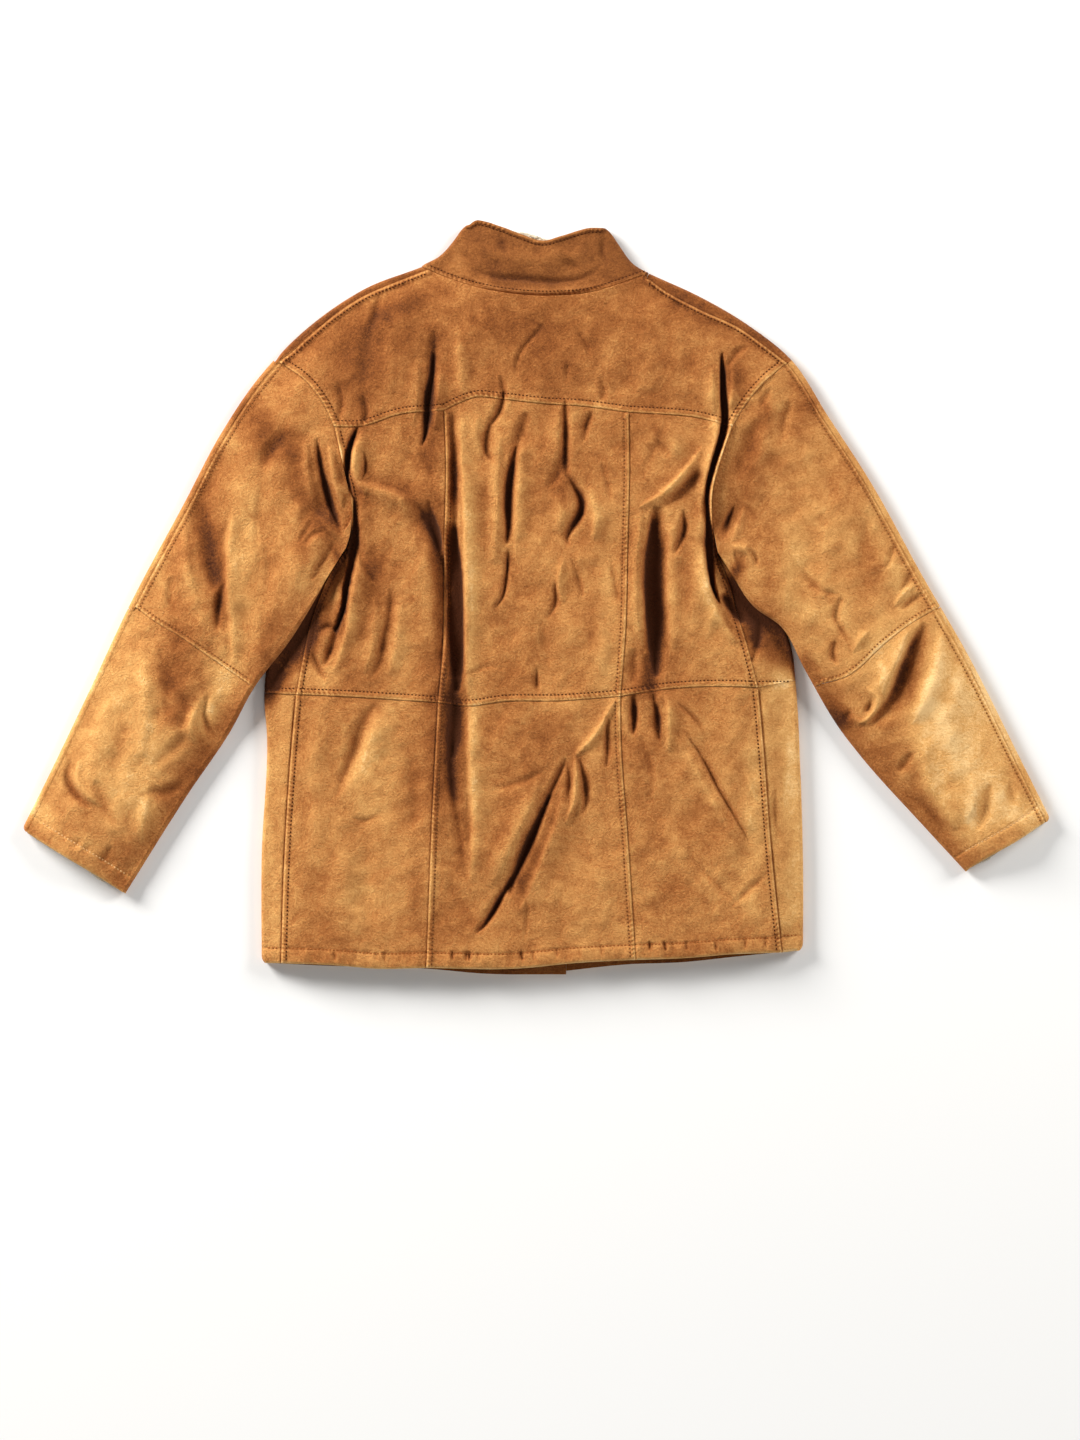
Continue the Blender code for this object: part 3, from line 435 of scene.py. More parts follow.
def lapped(distance, along, band=LAP_BAND):
    """A folded edge that lies over its neighbour: a round edge with a painted highlight along it, a
    padded band that is gathered here and there into short puckers, paler on their crests and darker
    between them as painted light and shade, and a dip where it is stitched, with a little painted
    shade. Returns the height it adds, and the tone."""
    gathered = np.clip(np.sin(along * 0.035 + 2 * np.sin(along * 0.011)), 0, 1)
    ripple = np.sin(along * 1.25 + 0.5 * distance + 2 * np.sin(along * 0.09))
    band_shape = np.sin(math.pi * np.clip(distance / band, 0, 1)) ** 0.7
    padded = 0.9 * band_shape * (1 + (0.25 + 0.55 * gathered) * ripple)
    dip = np.exp(-(((distance - band) / 1.0) ** 2))
    edge_highlight = np.exp(-(((distance - 1.5) / 0.9) ** 2))
    return (rounded(distance, 0.5) + padded - 0.3 * dip + 0.3 * np.exp(-distance / band),
            0.26 * edge_highlight - 0.05 * dip + 0.16 * gathered * band_shape * (ripple - 0.5))


def lapped_upright(distance, along):
    """The same along the upright seams, whose topstitching is closer to the edge; painted shade
    darkens the groove at the edge.
    """
    height, tone = lapped(distance, along, UPRIGHT_BAND)
    return (height + rounded(distance, 1.0) + 0.2 * np.exp(-distance / UPRIGHT_BAND),
            tone - 0.20 * np.exp(-((distance / 0.6) ** 2)))


def lapped_back(distance, along):
    """The same along the two back seams, which are flatter, with less painted shade in the groove at
    the edge.
    """
    height, tone = lapped(distance, along, UPRIGHT_BAND)
    return height + 0.5 * rounded(distance, 1.0), tone - 0.06 * np.exp(-((distance / 0.6) ** 2))


def tucked(distance, along):
    """An edge that goes in under its neighbour's folded edge, with painted shade where it dips in."""
    return (-0.3 * np.exp(-((distance / 1.1) ** 2)) + 0 * along,
            -0.04 * np.exp(-((distance / 0.8) ** 2)) + 0 * along)


def tucked_upright(distance, along):
    """The same along the upright seams, where it lies deeper and has more painted shade."""
    height, tone = tucked(distance, along)
    return 4 * height, 8 * tone


def tucked_back(distance, along):
    """The same along the two back seams."""
    height, tone = tucked(distance, along)
    return 2 * height, 4 * tone


def hemmed(distance, along):
    """A turned hem: a thick edge, paler along it, partly rubbed nap and partly painted highlight, a
    soft band with short puckers, and a stitched dip with a little painted shade.
    """
    pull = np.sin(along * 0.21 + 2.2 * np.sin(along * 0.043)) + 0.6 * np.sin(along * 0.5)
    pucker = 0.6 * pull * np.exp(-(((distance - HEM_BAND * 0.7) / (HEM_BAND * 0.6)) ** 2))
    padded = 1.3 * np.sin(math.pi * np.clip(distance / HEM_BAND, 0, 1)) ** 0.6
    dip = np.exp(-(((distance - HEM_BAND) / 1.6) ** 2))
    return (rounded(distance, 3.0) + padded + pucker - 0.7 * dip,
            0.40 * np.exp(-((distance / 2.0) ** 2)) - 0.03 * dip)


def spaced(length, fine=0.9, band=9.0, coarse=1.8):
    """Shares of a length, close together near both its ends, where the seams are."""
    band = min(band, length / 2 - 0.1)
    ends = np.linspace(0, band, max(2, round(band / fine)) + 1)
    middle = np.linspace(band, length - band, max(2, round((length - 2 * band) / coarse)) + 1)
    return np.concatenate([ends, middle[1:-1], length - ends[::-1]]) / length


def patch(low, high, left, right, u, v):
    """The points of a four-sided sheet between its edges, [row][column], by a Coons blend: the
    two ruled sheets between opposite edges added, less the one between the four corners.

    low and high run from left to right, left and right from low to high.
    """
    low, high, left, right = places(low, u), places(high, u), places(left, v), places(right, v)
    u, v = u[None, :, None], v[:, None, None]
    corners = (1 - v) * ((1 - u) * low[0] + u * low[-1]) + v * ((1 - u) * high[0] + u * high[-1])
    return ((1 - v) * low[None] + v * high[None] + (1 - u) * left[:, None] + u * right[:, None]
            - corners)


def drawn_in(grid, edges):
    """The grid with the named edges moved in by HALF_SEAM."""
    out = grid.copy()
    views = {"low": (grid[0], grid[1], out[0]), "high": (grid[-1], grid[-2], out[-1]),
             "left": (grid[:, 0], grid[:, 1], out[:, 0]),
             "right": (grid[:, -1], grid[:, -2], out[:, -1])}
    for name in edges:
        edge, next_in, moving = views[name]
        run = np.gradient(edge, axis=0)
        normal = np.stack([-run[:, 1], run[:, 0]], axis=1) / np.linalg.norm(run, axis=1)[:, None]
        moving += HALF_SEAM * normal * np.sign((normal * (next_in - edge)).sum(1))[:, None]
    return out


# Where the colour is paler or darker than its surroundings: the nap's own patches, mixed with
# painted shadow and painted light, such as the sleeves' shadows on the body by the armpits. Each
# is its middle, size along and across, the turn of the long side in degrees, and how much, above 0
# paler.
NAP_AND_PAINTED_LIGHT_MARKS = [
    ((-205, 8), 9, 22, -10, -0.16), ((-226, 8), 7, 26, -10, 0.14),
    ((-118, 215), 14, 26, 0, -0.11), ((213, 30), 10, 14, 0, 0.18), ((-95, 78), 7, 34, 0, 0.14),
    ((2, -212), 18, 22, -20, -0.14), ((-10, -310), 10, 44, -22, -0.10),
    ((80, -100), 12, 24, 0, 0.10), ((232, -305), 18, 26, 0, 0.10), ((-122, 55), 16, 22, 0, -0.10),
    ((0, 300), 230, 60, 0, -0.14), ((10, 262), 22, 40, 20, -0.10),
    ((52, 270), 16, 36, -30, -0.08), ((-118, 300), 50, 34, 10, -0.10),
    ((-200, 265), 46, 44, 0, -0.22), ((-86, 250), 10, 40, 0, 0.14),
    ((160, 258), 56, 14, 0, -0.14), ((222, 248), 13, 18, 10, -0.22),
    ((-118, 78), 20, 30, 30, -0.42), ((-112, 20), 7, 70, 0, -0.22),
    ((-117, 165), 13, 36, 0, -0.34), ((-182, 30), 24, 30, 0, -0.34),
    ((-70, 60), 12, 120, 0, 0.16), ((-165, 118), 50, 18, -8, -0.24),
    ((-222, -10), 8, 60, 10, -0.20), ((-30, -90), 60, 16, 0, -0.10), ((10, 60), 40, 80, 0, 0.02),
    ((82, 10), 15, 66, 0, 0.24), ((28, 136), 44, 44, 0, -0.14), ((128, 30), 26, 70, 0, -0.12),
    ((138, -50), 16, 44, 0, -0.26), ((160, 150), 50, 30, 30, 0.10), ((186, 20), 10, 60, 10, 0.12),
    ((-190, -175), 22, 50, -20, 0.22), ((-165, -200), 12, 90, 0, 0.12),
    ((-240, -250), 40, 110, 0, 0.05), ((-250, -140), 20, 30, 0, -0.06),
    ((-72, -180), 10, 90, 0, 0.22), ((-98, -150), 21, 66, 0, -0.50),
    ((10, -150), 50, 30, -20, -0.14), ((-52, -250), 15, 66, 0, 0.18),
    ((70, -300), 34, 60, 0, 0.04), ((56, -160), 20, 24, 0, 0.20), ((185, -140), 36, 46, 0, -0.06),
    ((180, -290), 28, 24, 0, -0.08), ((94, -248), 30, 26, 0, 0.14),
    ((120, -170), 26, 30, 0, -0.10), ((-300, -250), 14, 200, 0, 0.12),
    ((290, -250), 14, 200, 0, 0.20), ((-197, 205), 14, 36, 0, -0.20),
    ((-115, 225), 10, 28, 0, -0.26), ((-48, 236), 18, 18, 0, -0.10),
    ((-93, -20), 14, 84, 0, -0.36), ((-152, -100), 16, 32, 0, 0.18),
    ((-195, -320), 15, 46, 0, 0.26), ((-136, -320), 9, 60, 0, -0.10),
    ((2, -285), 12, 66, -24, -0.16), ((116, -102), 13, 16, 0, -0.28),
    ((242, -240), 14, 100, 0, 0.24), ((280, -300), 9, 46, 0, -0.12),
    ((247, -46), 32, 14, -42, -0.55), ((228, -4), 26, 9, -60, -0.50),
    ((-216, 4), 7, 20, 0, -0.20), ((-196, 90), 12, 34, 0, -0.26), ((-112, 42), 12, 18, 0, -0.14),
    ((-93, 88), 8, 16, 0, 0.30), ((-145, -58), 12, 26, 0, 0.18), ((-115, -230), 14, 50, 0, -0.12),
    ((0, -86), 14, 14, 0, 0.14), ((-18, -318), 9, 16, -24, -0.26), ((110, -338), 28, 18, 0, 0.14),
    ((130, -385), 26, 12, 0, 0.14), ((286, -200), 10, 34, 0, 0.16),
    ((160, -230), 16, 16, 0, 0.12), ((-190, -240), 14, 20, 0, 0.14),
    ((-76, -370), 18, 18, 0, -0.14), ((-250, -44), 9, 24, -20, -0.34),
    ((-298, -112), 9, 14, -30, -0.30), ((-234, -94), 22, 14, 20, 0.20),
    ((-292, -255), 9, 46, 0, -0.16), ((-232, 12), 9, 22, 20, 0.34), ((211, 34), 8, 14, 0, 0.30),
    ((277, -92), 13, 14, 0, 0.34), ((221, 232), 10, 20, 0, -0.16), ((140, 182), 12, 12, 0, -0.14),
    ((-48, 225), 12, 20, 0, -0.08), ((28, 118), 9, 28, 0, -0.14), ((-16, 150), 9, 22, 0, -0.10),
    ((-38, -262), 10, 34, -24, -0.14), ((18, -244), 9, 24, -20, -0.16),
    ((112, 32), 8, 24, 0, -0.14), ((-137, -340), 10, 24, 0, -0.12),
    ((123, -75), 10, 40, 0, -0.22), ((180, 92), 8, 14, 0, -0.18),
    ((-150, 325), 60, 14, 25, -0.22), ((180, 315), 44, 14, -25, -0.20),
    ((74, 276), 50, 22, 15, 0.12), ((-196, 160), 8, 26, 0, -0.14),
    ((-277, -80), 46, 11, 50, -0.45),
]


def marks(table, points):
    """The marks of a table added up: each is its strength times a soft oval spot."""
    tone = np.zeros(len(points))
    for middle, long, wide, turn, strength in table:
        c, s = math.cos(math.radians(turn)), math.sin(math.radians(turn))
        x, y = (points - middle).T
        away = ((c * x + s * y) / long) ** 2 + ((c * y - s * x) / wide) ** 2
        tone += strength * np.exp(-away)
    return tone


def hollows(height_of, low, high, step=3.0, reach=3):
    """How far each place lies under the mean level round it, looked up from a square grid.

    The mean is three running means of 2 * reach + 1 cells, both ways; between the grid's points
    the value is the usual weighting of the four nearest.
    """
    across, up = np.arange(low[0], high[0], step), np.arange(low[1], high[1], step)
    level = height_of(np.dstack(np.meshgrid(across, up)))
    mean = level
    for axis in (0, 1, 0, 1, 0, 1):
        mean = sum(np.roll(mean, k, axis) for k in range(-reach, reach + 1)) / (2 * reach + 1)
    under = mean - level

    def depth(points):
        at = np.clip((points - low) / step, 0, [len(across) - 1.01, len(up) - 1.01])
        i, j = np.moveaxis(at.astype(int), -1, 0)
        x, y = np.moveaxis(at % 1, -1, 0)
        return ((1 - x) * (1 - y) * under[j, i] + x * (1 - y) * under[j, i + 1]
                + (1 - x) * y * under[j + 1, i] + x * y * under[j + 1, i + 1])

    return depth


body_depth = hollows(body_height, (-330, -430), (330, 384))


def hollow_shade_ridge_light(depth):
    """Painted shade and light: darker in hollows, by how deep they are, and paler on ridges."""
    low = np.clip(depth, 0, 10)
    return -0.045 * low - 0.007 * low**2 + 0.045 * np.clip(-depth, 0, 5)


def body_tone(points):
    """How pale the back is: its marks, which hold nap patches and painted shadow and light, with
    painted shadow beside the sleeves' inner edges, painted shade in the hem's puckers and hollows,
    and painted highlight on ridges.
    """
    flat = points.reshape(-1, 2)
    # painted shadow: darker under and beside each sleeve's inner edge, where the sleeve shades the
    # body
    tone = marks(NAP_AND_PAINTED_LIGHT_MARKS, flat) - 0.55 * pressed(flat)
    # painted shade in the hem's puckers
    tone += PUCKER_PAINTED_SHADE * relief(PUCKERS, flat, np.full(len(flat), FAR_INSIDE))
    # painted shade in the hollows and painted highlight on the ridges
    return tone.reshape(points.shape[:-1]) + hollow_shade_ridge_light(body_depth(points))


def finish(name, shades, nap, sheen):
    """A matte finish whose colour is mottled at five sizes and follows the piece's tone, which holds
    its nap marks and its painted light and shade.

    shades are seven colours from dark to pale. The mottling is noise at the five sizes of
    MOTTLING, from broad clouds down to the nap itself; the tone attribute of the mesh moves it
    towards the pale or the dark end. The two finest kinds of noise are also the nap's relief.
    """
    made = bpy.data.materials.new(name)
    made.use_nodes = True
    nodes, links = made.node_tree.nodes, made.node_tree.links
    shader = nodes["Principled BSDF"]
    where = nodes.new("ShaderNodeTexCoord")
    tone = nodes.new("ShaderNodeAttribute")
    tone.attribute_name = "tone"
    total = tone.outputs["Fac"]
    grains = []
    for scale, detail, distortion, weight in MOTTLING:
        noise = nodes.new("ShaderNodeTexNoise")
        noise.inputs["Scale"].default_value = scale
        noise.inputs["Detail"].default_value = detail
        noise.inputs["Roughness"].default_value = 0.6
        noise.inputs["Distortion"].default_value = distortion
        links.new(where.outputs["Object"], noise.inputs["Vector"])
        grains.append(noise.outputs["Fac"])
        add = nodes.new("ShaderNodeMath")
        add.operation = "MULTIPLY_ADD"
        links.new(noise.outputs["Fac"], add.inputs[0])
        add.inputs[1].default_value = weight
        links.new(total, add.inputs[2])
        total = add.outputs[0]
    middle = nodes.new("ShaderNodeMath")
    middle.operation = "ADD"
    links.new(total, middle.inputs[0])
    middle.inputs[1].default_value = 0.5 - 0.5 * sum(weight for *_, weight in MOTTLING)
    ramp = nodes.new("ShaderNodeValToRGB")
    links.new(middle.outputs[0], ramp.inputs["Fac"])
    bands = ramp.color_ramp.elements
    while len(bands) < len(shades):
        bands.new(0.5)
    for band, at, shade in zip(bands, SHADE_PLACES, shades):
        band.position = at
        band.color = (*shade, 1)
    links.new(ramp.outputs["Color"], shader.inputs["Base Color"])
    grain = nodes.new("ShaderNodeMath")
    grain.operation = "MULTIPLY_ADD"
    links.new(grains[3], grain.inputs[0])
    grain.inputs[1].default_value = 1.5
    links.new(grains[4], grain.inputs[2])
    bump = nodes.new("ShaderNodeBump")
    bump.inputs["Strength"].default_value = nap
    bump.inputs["Distance"].default_value = 0.0015
    links.new(grain.outputs[0], bump.inputs["Height"])
    links.new(bump.outputs["Normal"], shader.inputs["Normal"])
    shader.inputs["Roughness"].default_value = 0.9
    shader.inputs["Specular IOR Level"].default_value = 0.2
    shader.inputs["Sheen Weight"].default_value = sheen
    shader.inputs["Sheen Roughness"].default_value = 0.45
    shader.inputs["Sheen Tint"].default_value = (1.0, 0.75, 0.5, 1)
    return made


SHADE_PLACES = (0.0, 0.25, 0.40, 0.5, 0.62, 0.80, 1.0)  # of the seven shades along the ramp
MOTTLING = [  # scale, detail, distortion, weight
    (8, 3, 0.8, 0.55), (30, 4, 1.2, 0.38), (110, 3, 0.8, 0.26), (420, 2, 0.3, 0.42),
    (1100, 2, 0.0, 0.34),
]
SUEDE = finish("suede", [(0.070, 0.017, 0.003), (0.250, 0.074, 0.014), (0.370, 0.128, 0.030),
                         (0.470, 0.185, 0.048), (0.580, 0.260, 0.073), (0.740, 0.385, 0.120),
                         (0.930, 0.600, 0.260)], 0.8, 0.04)
FLEECE = finish("fleece", [(0.36, 0.25, 0.14), (0.52, 0.40, 0.25), (0.64, 0.52, 0.36),
                           (0.74, 0.63, 0.46), (0.80, 0.70, 0.54), (0.87, 0.79, 0.65),
                           (0.93, 0.88, 0.78)], 1.0, 0.2)


def cloth(name, sheets, finishes):
    """One closed cloth wall from sheets that share edges.

    A sheet is its outer points, its inner points, the tone of each and, where it has one, a mask
    of what is faced with the walls' finish inside: grids of the same size. Outer points at the
    same place are joined, the inner points follow them, and a border edge, which belongs to just
    one face, gets a face across the wall. The inside and what lies flat on the floor, both
    without detail, are then thinned out to a seventh of their faces.
    """
    outer = np.concatenate([sheet[0].reshape(-1, 3) for sheet in sheets])
    inner = np.concatenate([sheet[1].reshape(-1, 3) for sheet in sheets])
    tone = np.concatenate([sheet[2].reshape(-1) for sheet in sheets])
    faced = np.concatenate([sheet[3].reshape(-1) if len(sheet) > 3
                            else np.zeros(sheet[2].size, bool) for sheet in sheets])
    faces, start = [], 0
    for sheet in sheets:
        rows, columns = sheet[0].shape[:2]
        number = start + np.arange(rows * columns).reshape(rows, columns)
        around = [number[:-1, :-1], number[:-1, 1:], number[1:, 1:], number[1:, :-1]]
        faces.append(np.stack(around, -1).reshape(-1, 4))
        start += rows * columns
    faces = np.concatenate(faces)
    _, first, same = np.unique(np.round(outer * 50).astype(int), axis=0, return_index=True,
                               return_inverse=True)
    outer, inner, tone, faces = outer[first], inner[first], tone[first], same.reshape(-1)[faces]
    faced = faced[first]
    whole = (faces != np.roll(faces, 1, axis=1)).all(1)
    faces = faces[whole]
    edges = np.stack([faces, np.roll(faces, -1, axis=1)], -1).reshape(-1, 2)
    _, back, count = np.unique(np.sort(edges, axis=1), axis=0, return_index=True,
                               return_counts=True)
    border = edges[back[count == 1]]
    n = len(outer)
    walls = np.stack([border[:, 1], border[:, 0], border[:, 0] + n, border[:, 1] + n], -1)
    every = np.concatenate([faces, faces[:, ::-1] + n, walls])
    slots = np.concatenate([0 * faces[:, 0], np.where(faced[faces].all(1), 2, 1),
                            0 * walls[:, 0] + 2])
    plain = np.concatenate([outer[:, 2] < ON_FLOOR, np.ones(n, bool)])
    plain[np.concatenate([border.ravel(), border.ravel() + n])] = False
    share = plain[every].all(1).mean()

    mesh = bpy.data.meshes.new(name)
    mesh.vertices.add(2 * n)
    at = (np.concatenate([outer, inner]) - DRAWN_MIDDLE) * MM + ORIGIN
    mesh.vertices.foreach_set("co", at.astype(np.float32).ravel())
    mesh.loops.add(every.size)
    mesh.loops.foreach_set("vertex_index", every.astype(np.int32).ravel())
    mesh.polygons.add(len(every))
    mesh.polygons.foreach_set("loop_start", np.arange(0, every.size, 4, dtype=np.int32))
    mesh.polygons.foreach_set("material_index", slots.astype(np.int32))
    mesh.update(calc_edges=True)
    mesh.validate()
    # the faced inside takes painted shade
    mesh.attributes.new("tone", "FLOAT", "POINT").data.foreach_set(
        "value", np.concatenate([tone, np.where(faced, FACING_PAINTED_SHADE, tone)]))
    bm = bmesh.new()
    bm.from_mesh(mesh)
    bmesh.ops.recalc_face_normals(bm, faces=bm.faces)
    if bm.calc_volume(signed=True) < 0:
        bmesh.ops.reverse_faces(bm, faces=bm.faces)
    bm.to_mesh(mesh)
    bm.free()
    for each in finishes:
        mesh.materials.append(each)
    made = bpy.data.objects.new(name, mesh)
    bpy.context.scene.collection.objects.link(made)
    made.vertex_groups.new(name="plain").add(np.flatnonzero(plain).tolist(), 1.0, "REPLACE")
    thin = made.modifiers.new("thin", "DECIMATE")
    thin.vertex_group = "plain"
    thin.ratio = 1 - share * (1 - PLAIN_KEPT)
    fewer = bpy.data.meshes.new_from_object(
        made.evaluated_get(bpy.context.evaluated_depsgraph_get()))
    made.modifiers.clear()
    made.vertex_groups.clear()
    made.data = fewer
    fewer.shade_smooth()
    fewer.set_sharp_from_angle(angle=SHARP_ANGLE)
    return made


ON_FLOOR = 0.3  # what is lower than this lies on the floor
PLAIN_KEPT = 1 / 7  # how many of the faces without detail stay
SHARP_ANGLE = math.radians(62)
# painted shade: the tone of the turned-up hem inside, which lies in shadow under the back's hem
FACING_PAINTED_SHADE = -0.22  # the turned-up hem inside


def over_sheet(grid, height, tone, wall=WALL):
    """The sheet of a piece that lies uppermost: its inner points are straight under its outer."""
    return np.dstack([grid, height]), np.dstack([grid, height - wall]), tone


def finished(edges, points):
    """What the finish along each edge adds to a piece's height and to its tone.

    edges lists each edge's line and its finish.
    """
    flat = points.reshape(-1, 2)
    added = np.zeros((2, len(flat)))
    for line, ending in edges:
        near = np.flatnonzero(((flat > line.min(0) - 30) & (flat < line.max(0) + 30)).all(1))
        off, along = nearest(line, flat[near])
        added[:, near] += ending(np.abs(off), along * lengths(line)[-1])
    return added.reshape(2, *points.shape[:-1])


def small_parts(name, points, faces, material):
    """One mesh of many small closed bodies, smooth and with one finish."""
    at = (points.reshape(-1, 3) - DRAWN_MIDDLE) * MM + ORIGIN
    mesh = bpy.data.meshes.new(name)
    mesh.from_pydata(at.tolist(), [], faces.tolist())
    bm = bmesh.new()
    bm.from_mesh(mesh)
    bmesh.ops.recalc_face_normals(bm, faces=bm.faces)
    bm.to_mesh(mesh)
    bm.free()
    mesh.materials.append(material)
    mesh.shade_smooth()
    made = bpy.data.objects.new(name, mesh)
    bpy.context.scene.collection.objects.link(made)
    return made


def ring_faces(rings):
    """The faces of a four-sided rod of so many rings, [face][corner], with its two ends."""
    k, c = np.arange(rings - 1)[:, None], np.arange(4)[None]
    quad = np.stack([k * 4 + c, k * 4 + (c + 1) % 4, (k + 1) * 4 + (c + 1) % 4, (k + 1) * 4 + c], -1)
    ends = [[3, 2, 1, 0], [rings * 4 - 4, rings * 4 - 3, rings * 4 - 2, rings * 4 - 1]]
    return np.concatenate([quad.reshape(-1, 4), ends])


RING = np.array([(0, 1), (1, 0), (0, -1), (-1, 0)])  # the corners of a rod: aside and up
STITCH = 4.2  # length of one stitch with the gap after it
STITCH_HALF = 0.27  # half the visible bar, as a share of that
THREAD = 0.9  # half the thread's width


def stitches(name, rows, material):
    """Rows of topstitching as one mesh: each stitch a small arched bar that dips at both ends.

    rows lists lines of (x, y, z). A bar has five rings of four corners along it; ring k stands
    at a share t of its half length, raised by the square root of 1 - t * t.
    """
    points, faces = [], []
    ring = RING * THREAD
    t = np.array([-1, -0.72, 0, 0.72, 1])
    swell = np.array([0.35, 0.9, 1, 0.9, 0.35])
    for row in rows:
        far = lengths(row)
        middles = np.arange(STITCH / 2, far[-1], STITCH)
        at = [np.stack([np.interp(middles + d, far, row[:, k]) for k in range(3)], -1)
              for d in (-1.0, 0, 1.0)]
        run = at[2] - at[0]
        run /= np.linalg.norm(run, axis=1)[:, None]
        side = np.stack([-run[:, 1], run[:, 0], 0 * run[:, 0]], -1)
        side /= np.linalg.norm(side, axis=1)[:, None]
        up = np.cross(run, side)
        bar = (at[1][:, None, None]
               + run[:, None, None] * (t[:, None, None] * STITCH * STITCH_HALF)
               + side[:, None, None] * (ring[:, 0] * swell[:, None])[..., None]
               + up[:, None, None] * (ring[:, 1] * swell[:, None]
                                      + 0.55 * np.sqrt(1 - t * t)[:, None] - 0.15)[..., None])
        number = sum(len(p) for p in points) + np.arange(len(middles))[:, None, None] * 4 * len(t)
        faces.append((ring_faces(len(t))[None] + number).reshape(-1, 4))
        points.append(bar.reshape(-1, 3))
    return small_parts(name, np.concatenate(points), np.concatenate(faces), material)


def pile(name, line, outwards, up, reach, count, seed):
    """Tufts of fleece along a line, as one mesh: each a bent four-sided cone of four rings.

    Ring k stands at a share t of the tuft, out by its length times t and down by a third of it
    times t squared. reach gives each tuft's length from its place along the line.
    """
    random = np.random.default_rng(seed)
    share = random.uniform(0, 1, count)
    long = reach(share) * random.uniform(0.6, 1.2, count)
    root = np.column_stack([places(line, share), up + random.uniform(-1.2, 1.2, count)])
    turn = math.atan2(outwards[1], outwards[0]) + random.uniform(-0.7, 0.7, count)
    run = np.column_stack([np.cos(turn), np.sin(turn), random.uniform(-0.2, 0.5, count)])
    side = np.column_stack([-np.sin(turn), np.cos(turn), 0 * turn])
    t = np.array([-0.5, 0.2, 0.6, 1.0])
    wide = np.array([0.5, 0.75, 0.55, 0.08])
    middle = (root[:, None] + run[:, None] * (long[:, None] * t)[..., None]
              + np.array([0, 0, -1]) * (long[:, None] * np.clip(t, 0, 1) ** 2)[..., None] / 3)
    points = (middle[:, :, None] + side[:, None, None] * (wide[:, None] * RING[:, 0])[..., None]
              + np.array([0, 0, 1]) * (wide[:, None] * RING[:, 1])[..., None])
    start = np.arange(count)[:, None, None] * 4 * len(t)
    made = small_parts(name, points, (ring_faces(len(t))[None] + start).reshape(-1, 4), FLEECE)
    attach(made, "root")
    return made


def thread_finish(name, dark, pale):
    """Matt thread, its twist shown by fine noise."""
    made = bpy.data.materials.new(name)
    made.use_nodes = True
    nodes, links = made.node_tree.nodes, made.node_tree.links
    where, noise = nodes.new("ShaderNodeTexCoord"), nodes.new("ShaderNodeTexNoise")
    noise.inputs["Scale"].default_value = 900
    ramp = nodes.new("ShaderNodeValToRGB")
    ramp.color_ramp.elements[0].color = (*dark, 1)
    ramp.color_ramp.elements[1].color = (*pale, 1)
    links.new(where.outputs["Object"], noise.inputs["Vector"])
    links.new(noise.outputs["Fac"], ramp.inputs["Fac"])
    links.new(ramp.outputs["Color"], nodes["Principled BSDF"].inputs["Base Color"])
    nodes["Principled BSDF"].inputs["Roughness"].default_value = 0.9
    nodes["Principled BSDF"].inputs["Specular IOR Level"].default_value = 0.1
    return made


THREAD_FINISH = thread_finish("thread", (0.030, 0.008, 0.002), (0.13, 0.036, 0.008))
BACK_THREAD = thread_finish("light thread", (0.10, 0.032, 0.008), (0.28, 0.10, 0.028))
HEM_THREAD = thread_finish("orange thread", (0.20, 0.055, 0.012), (0.40, 0.13, 0.03))


def seam_row(line, by, height, trim=3.0):
    """A row of stitches beside a line: the line moved by a distance, on the cloth's surface, and
    trimmed at both ends."""
    row = moved(line, by)
    long = lengths(row)[-1]
    flat = places(row, np.linspace(trim, long - trim, max(4, int(long / 2.2))) / long)
    return np.column_stack([flat, height(flat)])


def join(*lines):
    """Lines end to end, each one's first point left out where it repeats the last."""
    return np.concatenate([lines[0], *(line[1:] for line in lines[1:])])


def kept_in(name, line):
    """The line, with what is less than 1.6 mm inside an outline's fold line moved in that far."""
    limit = inwards(name, FOLD_LINE[name], 1.6)
    off, along = nearest(limit, line)
    centre = nearest(limit, np.zeros((1, 2)))[0][0]
    kept = np.where((off * centre > 0)[:, None], line, places(limit, along))
    return kept[np.append(np.diff(lengths(kept)) > 0.05, True)]


shoulder = {side: kept_in(f"outer outline {side}", LINE[f"shoulder seam {side}"]) for side in SIDES}
yoke_low = join(*(LINE[f"yoke seam {part}"] for part in ("left", "centre", "right")))
neck = LINE["neck"].copy()
yoke_left, yoke_right = LINE["armhole left upper"].copy(), LINE["armhole right upper"].copy()
yoke_left[-1], yoke_right[-1] = shoulder["left"][0], shoulder["right"][0]
neck[0], neck[-1] = shoulder["left"][-1], shoulder["right"][-1]
yoke_high = join(shoulder["left"], neck, shoulder["right"][::-1])
grid = drawn_in(patch(yoke_low, yoke_high, yoke_left, yoke_right, spaced(600), spaced(150)),
                ("low", "high", "left", "right"))
yoke_edges = [(yoke_low, lapped), (yoke_left, lapped), (yoke_right, lapped),
              (shoulder["left"], lapped), (shoulder["right"], lapped), (neck, tucked)]


def yoke_height(points):
    """Height of the yoke's upper face, with its finished edges."""
    return body_height(points) + finished(yoke_edges, points)[0]


